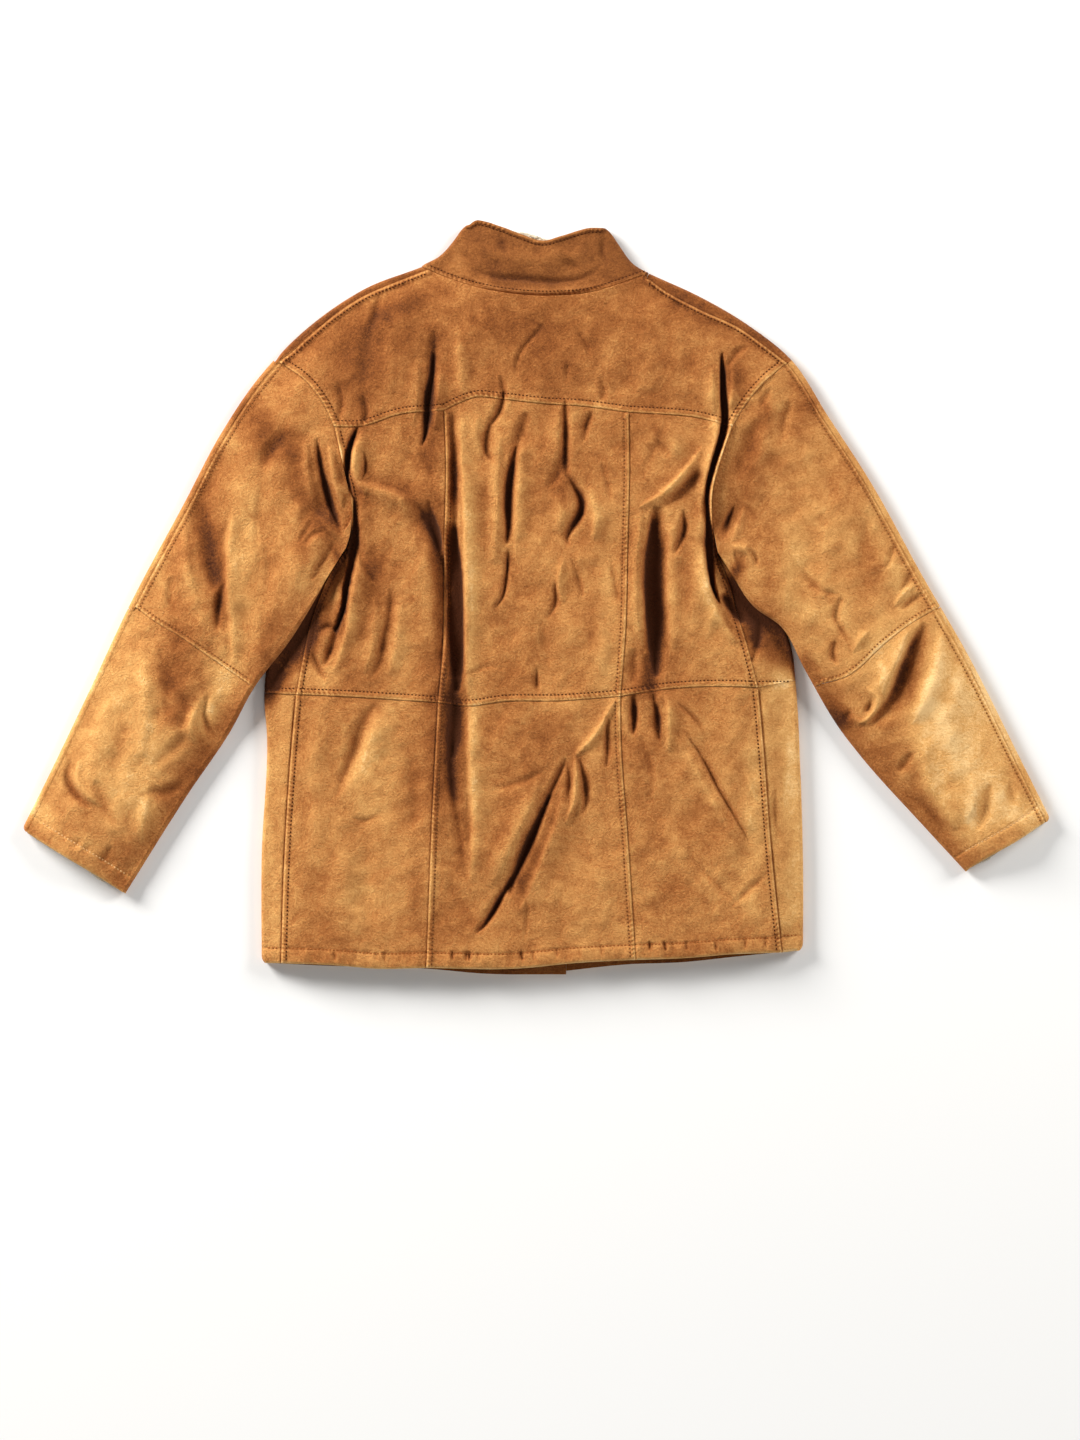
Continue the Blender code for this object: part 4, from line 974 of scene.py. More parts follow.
added = finished(yoke_edges, grid)
yoke = cloth("yoke_cloth",
             [over_sheet(grid, body_height(grid) + added[0], body_tone(grid) + added[1])],
             [SUEDE, FLEECE, SUEDE])
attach(yoke, "root")
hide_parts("yoke")
SHOULDER_BAND = 4.0
rows = [seam_row(yoke_low, LAP_BAND, yoke_height),  # the armholes' rows end short of the shoulder
        seam_row(yoke_left[:-3], -LAP_BAND, yoke_height),
        seam_row(yoke_right[:-3], LAP_BAND, yoke_height),
        seam_row(shoulder["left"], -SHOULDER_BAND, yoke_height),
        seam_row(shoulder["right"], SHOULDER_BAND, yoke_height)]
yoke_stitching = stitches("yoke_stitching", rows, THREAD_FINISH)
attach(yoke_stitching, "root")

# ---------------------------------------------------------------------------------------------
# The back panels: three above the waist seam and three below it, of the same cloth as the yoke.
# The upper ones lie over the lower ones with a stitched lap, the two upright seams are stitched
# on the centre panel's side, and the lower edges are a turned hem with short puckers.

LINE.update({name: curve(points) for name, points in {
    "armhole left lower": [(-214, 53), (-209, 71), (-208, 106), (-214, 133), (-227, 190)],
    "armhole right lower": [(203, 48), (197, 82), (197, 117), (207, 155), (219, 190)],
    "back seam left upper": [(-111, -119), (-107, -78), (-104, 60), (-102, 151), (-104, 208)],
    "back seam right upper": [(94, -112), (100, -32), (102, 60), (104, 151), (103, 206)],
    "back seam left lower": [(-124, -416), (-117, -236), (-111, -119)],
    "back seam right lower": [(111, -407), (103, -283), (94, -142), (94, -112)],
    "waist left": [(-270, -110), (-204, -113), (-157, -116), (-111, -119)],
    "waist centre": [(-111, -119), (-76, -123), (-39, -118), (26, -117), (94, -112)],
    "waist right": [(94, -112), (145, -104), (192, -101), (248, -102)],
    "side seam left upper": [(-270, -110), (-262, -66), (-255, -32), (-245, -2), (-230, 30),
                             (-214, 53)],
    "side seam right upper": [(248, -102), (236, -54), (226, -21), (217, 14), (203, 48)],
    "side seam left lower": [(-287, -411), (-284, -306), (-275, -165), (-270, -110)],
    "side seam right lower": [(275, -399), (263, -283), (252, -142), (248, -102)],
    "hem left": [(-287, -411), (-227, -413), (-180, -417), (-124, -416)],
    "hem centre": [(-124, -416), (-27, -417), (51, -410), (111, -407)],
    "hem right": [(111, -407), (168, -405), (215, -401), (275, -399)],
}.items()})

# Each panel's left and right edge, and how each is finished.
UPRIGHT = {
    "left": (("side seam left", lapped_upright), ("back seam left", tucked_back)),
    "centre": (("back seam left", lapped_back), ("back seam right", lapped_back)),
    "right": (("back seam right", tucked_back), ("side seam right", lapped_upright)),
}
for part, ((left_name, left_finish), (right_name, right_finish)) in UPRIGHT.items():
    yoke_seam, waist, hem = (LINE[f"{name} {part}"] for name in ("yoke seam", "waist", "hem"))
    left, right = LINE[f"{left_name} upper"], LINE[f"{right_name} upper"]
    if part == "left":
        left = join(left, LINE["armhole left lower"])
    if part == "right":
        right = join(right, LINE["armhole right lower"])
    for level, low, high, edges in (
            ("upper", waist, yoke_seam, ((waist, lapped), (yoke_seam, tucked))),
            ("lower", hem, waist, ((hem, hemmed), (waist, tucked)))):
        if level == "lower":
            left, right = LINE[f"{left_name} lower"], LINE[f"{right_name} lower"]
        u = spaced(lengths(low)[-1])
        v = spaced(lengths(left)[-1], band=22 if level == "lower" else 9)
        seams = ("high", "left", "right") if level == "lower" else ("low", "high", "left", "right")
        grid = drawn_in(patch(low, high, left, right, u, v), seams)
        edges = [*edges, (left, left_finish), (right, right_finish)]

        def panel_height(points, edges=edges):
            """Height of the panel's upper face, with its finished edges."""
            return body_height(points) + finished(edges, points)[0]

        added = finished(edges, grid)
        name = f"back_{level}_{part}"
        panel = cloth(f"{name}_cloth", [over_sheet(grid, body_height(grid) + added[0],
                                                   body_tone(grid) + added[1])],
                      [SUEDE, FLEECE, SUEDE])
        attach(panel, "root")
        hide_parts(name)
        rows = [seam_row(low, LAP_BAND, panel_height)] if level == "upper" else []
        back_rows = []
        for line, by, edge_finish in ((left, -UPRIGHT_BAND, left_finish),
                                      (right, UPRIGHT_BAND, right_finish)):
            if edge_finish is lapped_upright:
                rows.append(seam_row(line, by, panel_height))
            if edge_finish is lapped_back:
                back_rows.append(seam_row(line, by, panel_height))
        sewn = [stitches(f"{name}_stitching", rows, THREAD_FINISH)] if rows else []
        if back_rows:
            sewn.append(stitches(f"back_seam_stitching_{level}", back_rows, BACK_THREAD))
        if level == "lower":
            hem_row = seam_row(low, HEM_BAND, panel_height)
            sewn.append(stitches(f"hem_stitching_{part}", [hem_row], HEM_THREAD))
        for piece in sewn:
            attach(piece, "root")
        under = [f"front_{level}_left", f"front_{level}_right"]

# ---------------------------------------------------------------------------------------------
# The fronts: two panels on each side, which lie on the floor, meet edge to edge under the coat,
# and turn up round its sides as far as the side seams, and over its shoulders as far as the
# shoulder seams. They are of the same cloth.

LINE.update({name: curve(points) for name, points in {
    "front hem left": [(-303, -411), (-243, -414), (-118, -418), (-62, -423), (33, -424)],
    "front hem right": [(33, -420), (98, -413), (168, -410), (215, -405), (293, -397)],
}.items()})
FRONT_EDGE_X = 33.0
TURN_STEPS = 14
FRONT_NECK_Y = 337.0  # where the fronts meet the collar, at the front edges
NECK_FRONT = (0.62, 12.0)  # the front neck's middle: share of the width out, and height over that
FACING_DEPTH = 26.0  # how far the hem is turned up inside
# painted light: the lower fronts' strips up the sides are made paler than the back
STRIP_PAINTED_LIGHT = 0.12  # the lower fronts are paler than the back
TURN_SWELL = ((1 - np.cos(np.linspace(0, math.pi, TURN_STEPS + 1))) / 2)[None] ** 2
# painted light makes the upper fronts' side strips a little paler; painted shade makes their shoulder
# strips darker
SIDE_TURN_PAINTED_LIGHT, SHOULDER_TURN_PAINTED_SHADE = 0.04, -0.12


def ground(points):
    """The floor's height."""
    return np.zeros(points.shape[:-1])


def turned(fold, inside, lies_at, reach=1.0):
    """Cloth turning round an edge: half an oval, TURN across and EDGE_TOP high, from the fold
    line underneath to the fold line on top. inside holds a point further in for each point, and
    reach what share of TURN it turns in."""
    out = (fold - inside) / np.linalg.norm(fold - inside, axis=1)[:, None]
    a = np.linspace(0, math.pi, TURN_STEPS + 1)[None]
    low = lies_at(fold)[:, None]
    sheets = []
    for across, up in ((TURN, EDGE_TOP / 2), (TURN - WALL, EDGE_TOP / 2 - WALL)):
        xy = fold[:, None] + (out * reach)[:, None] * (across * np.sin(a))[..., None]
        sheets.append(np.dstack([xy, low + EDGE_TOP / 2 - up * np.cos(a)]))
    return sheets


def corner(distance, radius=9.0):
    """What share of TURN the cloth turns in at a distance from a hem: a quarter circle."""
    return np.sqrt(1 - np.clip(1 - distance / radius, 0, 0.98) ** 2)[:, None]


def strip_over(fold, seam, count):
    """The strip on top between a fold line and a seam, from the fold line on."""
    t = np.linspace(0, 1, count + 1)[1:]
    return fold[:, None] + (seam - fold)[:, None] * t[None, :, None]


def share_at(line, point):
    """What share of a line's length is before the place on it nearest to a point."""
    return nearest(line, np.array([point], float))[1][0]


for side in SIDES:
    outwards = -1 if side == "left" else 1
    fold_line = FOLD_LINE[f"body outline {side}"]
    over_line = FOLD_LINE[f"outer outline {side}"]
    seam_up, seam_low = LINE[f"side seam {side} upper"], LINE[f"side seam {side} lower"]

    # below the waist
    v = spaced(lengths(seam_low)[-1], band=22)
    low_share, waist_share, top_share = (share_at(fold_line, p) for p in
                                         (seam_low[0], seam_low[-1], seam_up[-1]))
    fold_low = places(fold_line, low_share + (waist_share - low_share) * v)
    seam = places(seam_low, v)
    out = fold_low - seam
    seam[:-1] += out[:-1] / np.linalg.norm(out, axis=1)[:-1, None] * HALF_SEAM
    seam[-1, 1] -= HALF_SEAM
    waist_y = LINE[f"waist {side}"][0 if side == "left" else -1][1]
    hem_line = LINE[f"front hem {side}"]
    u = np.linspace(0, 1, 26)
    hem_x = fold_low[0, 0] + (FRONT_EDGE_X - fold_low[0, 0]) * u
    order = np.argsort(hem_line[:, 0])
    hem = np.column_stack([hem_x, np.interp(hem_x, hem_line[order, 0], hem_line[order, 1])])
    waist = np.array([fold_low[-1], (FRONT_EDGE_X, waist_y)])
    under = patch(hem, waist, fold_low, np.array([hem[-1], waist[-1]]), u, v)
    under = drawn_in(under, ("high", "right"))
    arc_outer, arc_inner = turned(under[:, 0], seam, ground,
                                  reach=corner(v * lengths(seam_low)[-1]))
    strip = strip_over(under[:, 0], seam, 14)
    waist_over = np.array([fold_low[-1], seam_low[-1]])

    def strip_height(points, seam=seam_low, waist_y=waist_y, hem_line=hem_line):
        """The strip between the turn and the side seam: tucked in at the seam, hemmed below."""
        flat = points.reshape(-1, 2)
        height = body_height(flat) + tucked_upright(np.abs(nearest(seam, flat)[0]), 0)[0]
        off, along = nearest(hem_line, flat)
        height += hemmed(np.abs(off), along * 300)[0]
        height += tucked(np.abs(flat[:, 1] - waist_y), 0)[0] * 0.8
        return height.reshape(points.shape[:-1])

    z = strip_height(strip)
    # the turn ends on the strip: its top is blended into the strip's own height
    rise = (strip_height(under[:, 0]) - EDGE_TOP)[:, None] * TURN_SWELL
    arc_outer[..., 2] += rise
    arc_inner[..., 2] += rise
    floor_outer = np.dstack([under[:, ::-1], ground(under)])
    floor_inner = np.dstack([under[:, ::-1], ground(under) + WALL])
    outer = np.concatenate([floor_outer, arc_outer[:, 1:], np.dstack([strip, z])], axis=1)
    inner = np.concatenate([floor_inner, arc_inner[:, 1:], np.dstack([strip, z - WALL])], axis=1)
    edge_of_strip = [(seam_low, tucked_upright), (waist_over, tucked), (hem_line, hemmed)]
    # painted light makes the strip paler
    tone = body_tone(outer[..., :2]) + STRIP_PAINTED_LIGHT + finished(edge_of_strip, outer[..., :2])[1]
    faced = np.tile((v * lengths(seam_low)[-1] < FACING_DEPTH)[:, None], (1, outer.shape[1]))
    front = cloth(f"front_lower_{side}_cloth", [(outer, inner, tone, faced)],
                  [SUEDE, FLEECE, SUEDE])
    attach(front, "root")
    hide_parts(f"front_lower_{side}")
    at_y = hem_line[-1 if side == "right" else 0, 1] + HEM_BAND
    row = np.array([(np.interp(at_y, fold_line[:, 1], fold_line[:, 0]) - outwards * 1.0, at_y),
                    (np.interp(at_y, seam_low[:, 1], seam_low[:, 0]) + outwards * 1.4, at_y)])
    low_stitching = stitches(f"front_lower_{side}_stitching",
                             [seam_row(row, 0, strip_height, trim=1)], HEM_THREAD)
    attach(low_stitching, "root")

    # above the waist
    armhole = join(LINE[f"armhole {side} lower"], LINE[f"armhole {side} upper"])
    vs = spaced(lengths(seam_up)[-1])
    fold_up = places(fold_line, waist_share + (top_share - waist_share) * vs)
    va = np.linspace(0, 1, 60)
    arm = places(armhole, va)
    shoulder_line = shoulder[side]
    us = spaced(lengths(shoulder_line)[-1])
    first, last = (share_at(over_line, p) for p in (shoulder_line[0], shoulder_line[-1]))
    fold_over = places(over_line, first + (last - first) * us)
    arm[0], arm[-1] = fold_up[-1], fold_over[0]
    between = (NECK_FRONT[0] * fold_over[-1][0], FRONT_NECK_Y + NECK_FRONT[1])
    front_neck = places(curve([fold_over[-1], between, (FRONT_EDGE_X, FRONT_NECK_Y)]),
                        np.linspace(0, 1, 16))
    top = join(fold_over, front_neck)
    edge = join(fold_up, arm)
    t_top, t_edge = lengths(top) / lengths(top)[-1], lengths(edge) / lengths(edge)[-1]
    waist = np.array([fold_up[0], (FRONT_EDGE_X, waist_y)])
    under = patch(waist, top, edge, np.array([waist[-1], top[-1]]), t_top, t_edge)
    under = drawn_in(under, ("low", "right"))
    n, m = len(fold_up), len(fold_over)
    under[n - 1:, 0] = drawn_in(under, ("left",))[n - 1:, 0]
    under[-1, m - 1:] = drawn_in(under, ("high",))[-1, m - 1:]
    sheets = [(np.dstack([under, ground(under)]), np.dstack([under, ground(under) + WALL]),
               np.zeros(under.shape[:2]))]
    for fold, seam_line, share, count in (
            (under[:n, 0], seam_up, vs, 14), (under[-1, :m], shoulder_line, us, 10)):
        seam = places(seam_line, share)
        out = fold - seam
        seam = seam + out / np.linalg.norm(out, axis=1)[:, None] * HALF_SEAM

        def strip_height(points, seam_line=seam_line, waist_y=waist_y):
            """The strip beside the seam: tucked in there, and lapped over the lower front."""
            flat = points.reshape(-1, 2)
            height = body_height(flat) + tucked(np.abs(nearest(seam_line, flat)[0]), 0)[0]
            above = np.abs(flat[:, 1] - waist_y)
            height += lapped(above, flat[:, 0])[0] * (above < 20)
            return height.reshape(points.shape[:-1])

        arc_outer, arc_inner = turned(fold, seam, ground)
        strip = strip_over(fold, seam, count)
        z = strip_height(strip)
        rise = (strip_height(fold) - EDGE_TOP)[:, None] * TURN_SWELL
        arc_outer[..., 2] += rise
        arc_inner[..., 2] += rise
        outer = np.concatenate([arc_outer, np.dstack([strip, z])], axis=1)
        inner = np.concatenate([arc_inner, np.dstack([strip, z - WALL])], axis=1)
        edge_of_strip = [(seam_line, tucked), (waist_over, lapped)]
        tone = body_tone(outer[..., :2]) + finished(edge_of_strip, outer[..., :2])[1]
        # painted light on the side strip, painted shade on the shoulder strip
        tone += SIDE_TURN_PAINTED_LIGHT if seam_line is seam_up else SHOULDER_TURN_PAINTED_SHADE
        sheets.append((outer, inner, tone))
        if seam_line is seam_up:
            at_y = waist_y + LAP_BAND
            row = np.array([(np.interp(at_y, fold_line[:, 1], fold_line[:, 0]) - outwards, at_y),
                            (np.interp(at_y, seam_up[:, 1], seam_up[:, 0]) + outwards * 1.4, at_y)])
            rows = [seam_row(row, 0, strip_height, trim=1)]
    front = cloth(f"front_upper_{side}_cloth", sheets, [SUEDE, FLEECE, SUEDE])
    stitching = stitches(f"front_upper_{side}_stitching", rows, THREAD_FINISH)
    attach(stitching, "root")
    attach(front, "root")
    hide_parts(f"front_upper_{side}")

# ---------------------------------------------------------------------------------------------
# The sleeves: each is a flattened tube of a back half, which lies uppermost and turns down round
# the inner edge, and a front half, which lies underneath and turns up round the outer edge to the
# outer seam. A stitched lap at the elbow joins the upper to the lower cloth, and the cuff is a
# turned hem. Near the armpit the sleeve lies over the side of the body.

LINE.update({name: curve(points) for name, points in {
    "elbow left": [(-451, -11), (-431, -26), (-400, -45), (-358, -74), (-320, -100)],
    "elbow right": [(450, -12), (415, -33), (392, -51), (344, -91), (318, -98)],
    "cuff left": [(-572, -265), (-540, -285), (-500, -309), (-464, -332)],
    "cuff right": [(571, -253), (540, -273), (505, -293), (482, -307)],
}.items()})
SLEEVE_LOFT = 11.0  # a sleeve keeps more of its round shape than the body
LAP = 11.5  # a sleeve lies this high over the side of the body
LAP_FROM, LAP_SLOPE = 4.0, 46.0  # where beyond the body it starts down, and how far to the floor
ARMHOLE_REACH = 80.0  # the sleeve takes up its own loft over this distance from the armhole
CUFF_BAND = 19.0  # the cuff's topstitching runs this far from its edge
SLEEVE_BAND = 5.0  # and that of the outer seam and the elbow this far
FAR_FROM_CUFF = 2000.0  # keeps an upper half free of the cuff's round corner but for its last row
OUTER_SEAM_IN = 1.6  # the outer seam runs this far inside the fold of the outer edge

SLEEVE_FOLDS = {
    "left": [
        ([(-384, 130), (-376, 86), (-368, 45), (-360, 2)], -9, 13, 12),
        ([(-348, 18), (-355, -4), (-359, -40)], -5, 4, 5),
        ([(-340, 97), (-345, 30), (-341, -31), (-338, -80)], 6, 11, 5),
        ([(-396, 86), (-393, 41), (-379, -15)], 4, 6, 12),
        ([(-409, 23), (-411, -4), (-400, -26)], -4, 6, 5),
        ([(-247, 178), (-244, 155), (-239, 130), (-232, 104), (-216, 63)], -10, 4.6, 3),
        ([(-233, 169), (-227, 133), (-216, 95)], 5, 6, 3),
        ([(-258, 175), (-256, 137), (-247, 97)], 4, 3, 9),
        ([(-227, 61), (-232, 47), (-241, 37), (-253, 25)], -13, 3, 4),
        ([(-245, 92), (-230, 74), (-214, 54)], 4, 3, 3),
        ([(-261, 57), (-250, 70), (-238, 72)], -3.6, 3, 3),
        ([(-252, 86), (-258, 74), (-267, 61)], -2.6, 4, 3),
        ([(-254, 20), (-240, 30), (-226, 40)], -8, 2.6, 2.6),
        ([(-265, 108), (-276, 63), (-270, 7)], 3, 12, 14),
        ([(-308, 142), (-312, 86), (-306, 18), (-308, -49)], -2.6, 12, 5),
        ([(-312, 86), (-307, 41), (-308, -15)], 2, 4, 4),
        ([(-281, 186), (-299, 162), (-308, 137)], -4, 10, 10),
        ([(-355, 175), (-364, 142), (-370, 110)], -4, 9, 8),
        ([(-283, 7), (-292, -26), (-308, -60)], -2.6, 8, 8),
        ([(-523, -183), (-527, -203), (-516, -222), (-498, -239)], -6, 3.4, 4),
        ([(-512, -181), (-515, -206), (-503, -223), (-487, -235)], 4, 5, 3),
        ([(-494, -206), (-485, -235), (-467, -264)], -3, 6, 6),
        ([(-368, -109), (-373, -132), (-364, -154), (-350, -163)], -5, 4, 4),
        ([(-382, -123), (-388, -145), (-382, -165)], 4, 6, 5),
        ([(-404, -105), (-393, -129), (-400, -150)], -4, 7, 8),
        ([(-422, -58), (-413, -98), (-415, -134)], -4, 13, 7),
        ([(-442, -49), (-438, -116), (-444, -183)], 4, 9, 10),
        ([(-393, -154), (-411, -174), (-433, -194)], -3, 7, 7),
        ([(-391, -208), (-418, -219), (-440, -217)], -4, 6, 6),
        ([(-435, -223), (-442, -253), (-438, -286)], 4, 6, 9),
        ([(-478, -116), (-491, -161), (-498, -194)], 3, 12, 10),
        ([(-458, -138), (-471, -183), (-469, -228)], -2.6, 8, 8),
        ([(-512, -270), (-518, -279), (-527, -284)], -2.6, 4, 4),
        ([(-476, -279), (-487, -295), (-494, -300)], -2.6, 4, 4),
    ],
    "right": [
        ([(434, -29), (421, -54), (411, -78), (403, -99), (394, -117), (370, -143)], -13, 12, 4.6,
         1.8, 2),
        ([(456, -35), (445, -94), (422, -143)], 6, 13, 8),
        ([(416, -38), (400, -80), (387, -111)], 5, 2.6, 9),
        ([(369, -102), (382, -114), (378, -130), (362, -141), (351, -132)], 5, 3, 3.4),
        ([(375, -116), (371, -127), (360, -128)], -3.6, 3, 3),
        ([(351, -129), (342, -141), (337, -158)], -7, 4, 4),
        ([(221, 49), (225, 38), (229, 26), (237, 6)], -8, 3.4, 3),
        ([(213, 45), (222, 54), (234, 52), (243, 38)], 4, 5, 5),
        ([(234, 54), (243, 45), (248, 32)], -4, 3, 3),
        ([(221, 101), (214, 86), (209, 68), (207, 52)], -8, 3.4, 3),
        ([(232, 101), (225, 81), (219, 61)], 4, 7, 3),
        ([(247, 198), (232, 169), (223, 130)], -5, 10, 8),
        ([(266, 220), (254, 175), (241, 108)], 3, 12, 8),
        ([(284, 220), (275, 193), (277, 169)], -3.6, 6, 5),
        ([(263, 234), (254, 220), (252, 209)], -3, 4, 4),
        ([(308, 175), (324, 142), (335, 108)], -3, 8, 8),
        ([(346, 175), (364, 130), (382, 74)], 3, 9, 9),
        ([(371, 86), (364, 45), (369, 7)], -3, 8, 9),
        ([(328, 86), (324, 41), (319, -4)], 3, 12, 12),
        ([(405, 63), (396, 45), (389, 27)], -3.6, 4, 3),
        ([(431, 34), (418, 23), (407, 7)], -4, 4, 3),
        ([(438, 5), (420, -4), (407, -17)], -5, 3, 3),
        ([(425, 14), (411, 3), (400, -11)], 3, 3, 3),
        ([(342, 1), (335, -22), (346, -44), (355, -62)], -4, 4, 4),
        ([(371, -38), (362, -49), (353, -64)], 3, 4, 4),
        ([(295, 30), (317, 7), (340, 1)], -2.4, 4, 4),
        ([(335, -49), (331, -64), (340, -80)], -4, 4, 4),
        ([(299, -62), (308, -76), (322, -87)], -4, 4, 5),
        ([(384, -71), (389, -89), (380, -105)], 3, 5, 4),
        ([(481, -71), (463, -138), (470, -206)], 3, 12, 14),
        ([(422, -174), (411, -188), (405, -201)], -4, 6, 5),
        ([(436, -161), (440, -206), (470, -262)], 5, 8, 10),
        ([(508, -210), (503, -235), (494, -264)], -5, 7, 7),
        ([(532, -206), (534, -228), (543, -235)], -3, 5, 6),
        ([(485, -197), (490, -228), (478, -257)], 3, 6, 7),
        ([(407, -217), (436, -241), (463, -270)], -3, 6, 7),
    ],
}
# Where a sleeve is paler or darker, in the same columns as the back's marks: the nap's own patches,
# mixed with painted shadow and painted light, such as the shade along the inner edges and by the
# armpits.
SLEEVE_NAP_AND_PAINTED_LIGHT_MARKS = {
    "left": [
        ((-562, -236), 12, 26, 30, 0.34), ((-420, 18), 12, 34, 20, 0.16),
        ((-370, -126), 14, 14, 0, 0.18), ((-420, -222), 14, 16, 0, -0.12),
        ((-318, 205), 26, 30, 0, -0.30), ((-290, 172), 26, 18, 10, -0.20),
        ((-360, 170), 16, 40, -20, -0.10), ((-362, 42), 16, 62, 10, -0.32),
        ((-330, 60), 20, 90, 0, 0.20), ((-252, 104), 18, 46, 22, -0.34),
        ((-460, -170), 90, 130, -30, 0.12), ((-440, -80), 90, 26, 60, 0.20),
        ((-410, -80), 32, 54, 10, -0.34), ((-440, -200), 40, 60, 10, 0.16),
        ((-505, -238), 26, 16, -30, -0.16), ((-352, -94), 18, 26, 0, 0.30),
        ((-390, -200), 20, 60, -34, -0.28), ((-470, -290), 24, 16, 30, -0.16),
        ((-250, 186), 16, 14, 0, 0.20), ((-408, -135), 12, 12, 0, -0.22),
        ((-372, -130), 16, 16, 0, 0.26), ((-466, -150), 14, 24, 0, -0.12),
        ((-492, -82), 13, 190, -27, 0.26), ((-302, -54), 14, 34, -20, -0.30),
        ((-236, 14), 9, 20, 0, 0.18), ((-235, 85), 14, 22, 0, -0.22),
        ((-262, 54), 10, 14, 0, -0.18), ((-225, 125), 10, 24, 0, -0.18),
        ((-275, 158), 18, 10, 0, -0.16), ((-342, 170), 14, 18, 0, 0.16),
        ((-394, 45), 10, 24, 0, -0.18), ((-351, 22), 9, 18, 0, -0.18),
        ((-400, -30), 20, 30, 0, -0.14), ((-468, -156), 12, 20, 0, -0.10),
        ((-500, -264), 20, 9, -20, -0.14), ((-462, -316), 14, 10, 0, -0.16),
        ((-440, -238), 16, 16, 0, 0.12), ((-432, -150), 9, 34, 0, 0.12),
        ((-222, 44), 5, 12, 30, -0.30),
    ],
    "right": [
        ((335, -128), 16, 24, 30, -0.22), ((385, -142), 18, 10, 0, -0.10),
        ((548, -252), 34, 18, -30, 0.16), ((485, -243), 14, 16, 0, 0.14),
        ((278, 208), 8, 20, 0, 0.14), ((375, 115), 8, 30, 30, 0.14),
        ((292, 192), 14, 16, 0, -0.18), ((240, 140), 13, 50, -10, -0.14),
        ((330, 80), 50, 60, 0, 0.12), ((380, 60), 16, 60, 20, -0.12),
        ((292, 42), 20, 30, 0, 0.28), ((460, -150), 90, 140, 30, 0.18),
        ((440, -130), 26, 90, 30, 0.20), ((413, -98), 9, 46, -18, -0.42),
        ((500, -180), 40, 60, 30, 0.16), ((390, -190), 16, 90, 42, -0.16),
        ((382, -66), 14, 30, 0, 0.24), ((492, -258), 24, 22, 0, 0.26),
        ((530, -230), 20, 20, 0, 0.14), ((480, -92), 32, 60, 28, 0.28),
        ((258, 205), 9, 16, 0, -0.22), ((230, 174), 9, 16, 0, 0.12),
        ((342, -140), 16, 12, 0, -0.26), ((424, -96), 9, 40, -14, -0.36),
        ((434, -38), 10, 24, 0, -0.14), ((376, 20), 18, 50, 0, -0.16),
        ((262, 18), 12, 16, 0, -0.20), ((215, 42), 8, 12, 0, 0.20),
        ((300, -78), 24, 9, -45, -0.24), ((565, -238), 20, 16, 30, 0.22),
        ((398, -80), 10, 34, -18, -0.16), ((390, -146), 10, 8, 0, -0.20),
        ((312, -18), 28, 14, -10, 0.20), ((452, -205), 8, 40, 15, 0.20),
        ((500, -165), 12, 22, 0, -0.12), ((423, -195), 8, 10, 0, -0.18),
        ((308, 216), 16, 16, 0, -0.18), ((336, 116), 12, 18, 0, -0.14),
        ((246, 170), 8, 44, -14, -0.12), ((392, 48), 12, 62, 26, 0.28),
        ((222, 26), 7, 14, -20, -0.40),
    ],
}


def lap_height(side, points):
    """Height of a sleeve's lower face: on the floor, or over the side of the body."""
    flat = points.reshape(-1, 2)
    outwards = {"left": 1, "right": -1}[side]
    beyond = nearest(FOLD_LINE[f"body outline {side}"], flat)[0] * outwards - TURN
    t = np.clip((beyond - LAP_FROM) / LAP_SLOPE, 0, 1)
    return (LAP * (1 - t * t * (3 - 2 * t))).reshape(points.shape[:-1])


def sleeve_top(side, points):
    """Height of a sleeve's upper face: what it lies on, its loft, its folds and unevenness."""
    flat = points.reshape(-1, 2)
    from_edge = edge_distance([f"outer outline {side}", f"inner outline {side}"], flat)
    armhole = join(LINE[f"armhole {side} lower"], LINE[f"armhole {side} upper"])
    t = np.clip(np.abs(nearest(armhole, flat)[0]) / ARMHOLE_REACH, 0, 1)
    rise = BODY_LOFT + (SLEEVE_LOFT - BODY_LOFT) * t * t * (3 - 2 * t)
    uneven = (waves(flat, 90, 3, 2.4) + waves(flat, 42, 4, 1.9) + waves(flat, 22, 5, 0.9)
              + waves(flat, 11, 6, 0.28))
    height = (loft(1, from_edge) * rise + relief(SLEEVE_FOLDS[side], flat, from_edge)
              + uneven * (1 - np.exp(-from_edge / 12)))
    lies_at = EDGE_TOP + lap_height(side, flat)
    return (lies_at + soft_floor(height, LOWEST_TOP - EDGE_TOP, HIGHEST_TOP - lies_at)
            ).reshape(points.shape[:-1])


sleeve_depth = {side: hollows(lambda points, side=side: sleeve_top(side, points), low, high)
                for side, low, high in (("left", (-590, -350), (-180, 320)),
                                        ("right", (170, -330), (590, 320)))}


def sleeve_tone(side, points):
    """How pale a sleeve is: its marks, nap patches mixed with painted shadow and light, with painted
    shade in its hollows and painted highlight on its ridges.
    """
    flat = marks(SLEEVE_NAP_AND_PAINTED_LIGHT_MARKS[side], points.reshape(-1, 2))
    return flat.reshape(points.shape[:-1]) + hollow_shade_ridge_light(sleeve_depth[side](points))


def cuffed(distance, along):
    """The cuff's turned hem, like the coat's hem but with its own band."""
    padded = 1.0 * np.sin(math.pi * np.clip(distance / CUFF_BAND, 0, 1)) ** 0.6
    dip = np.exp(-(((distance - CUFF_BAND) / 1.4) ** 2))
    pull = 0.5 * np.sin(along * 0.5 + 2 * np.sin(along * 0.11))
    pucker = pull * np.exp(-(((distance - CUFF_BAND) / 6) ** 2))
    return (rounded(distance, 3.0) + padded - 0.8 * dip + pucker,
            0.35 * np.exp(-((distance / 2.0) ** 2)) + 0.10 * dip)


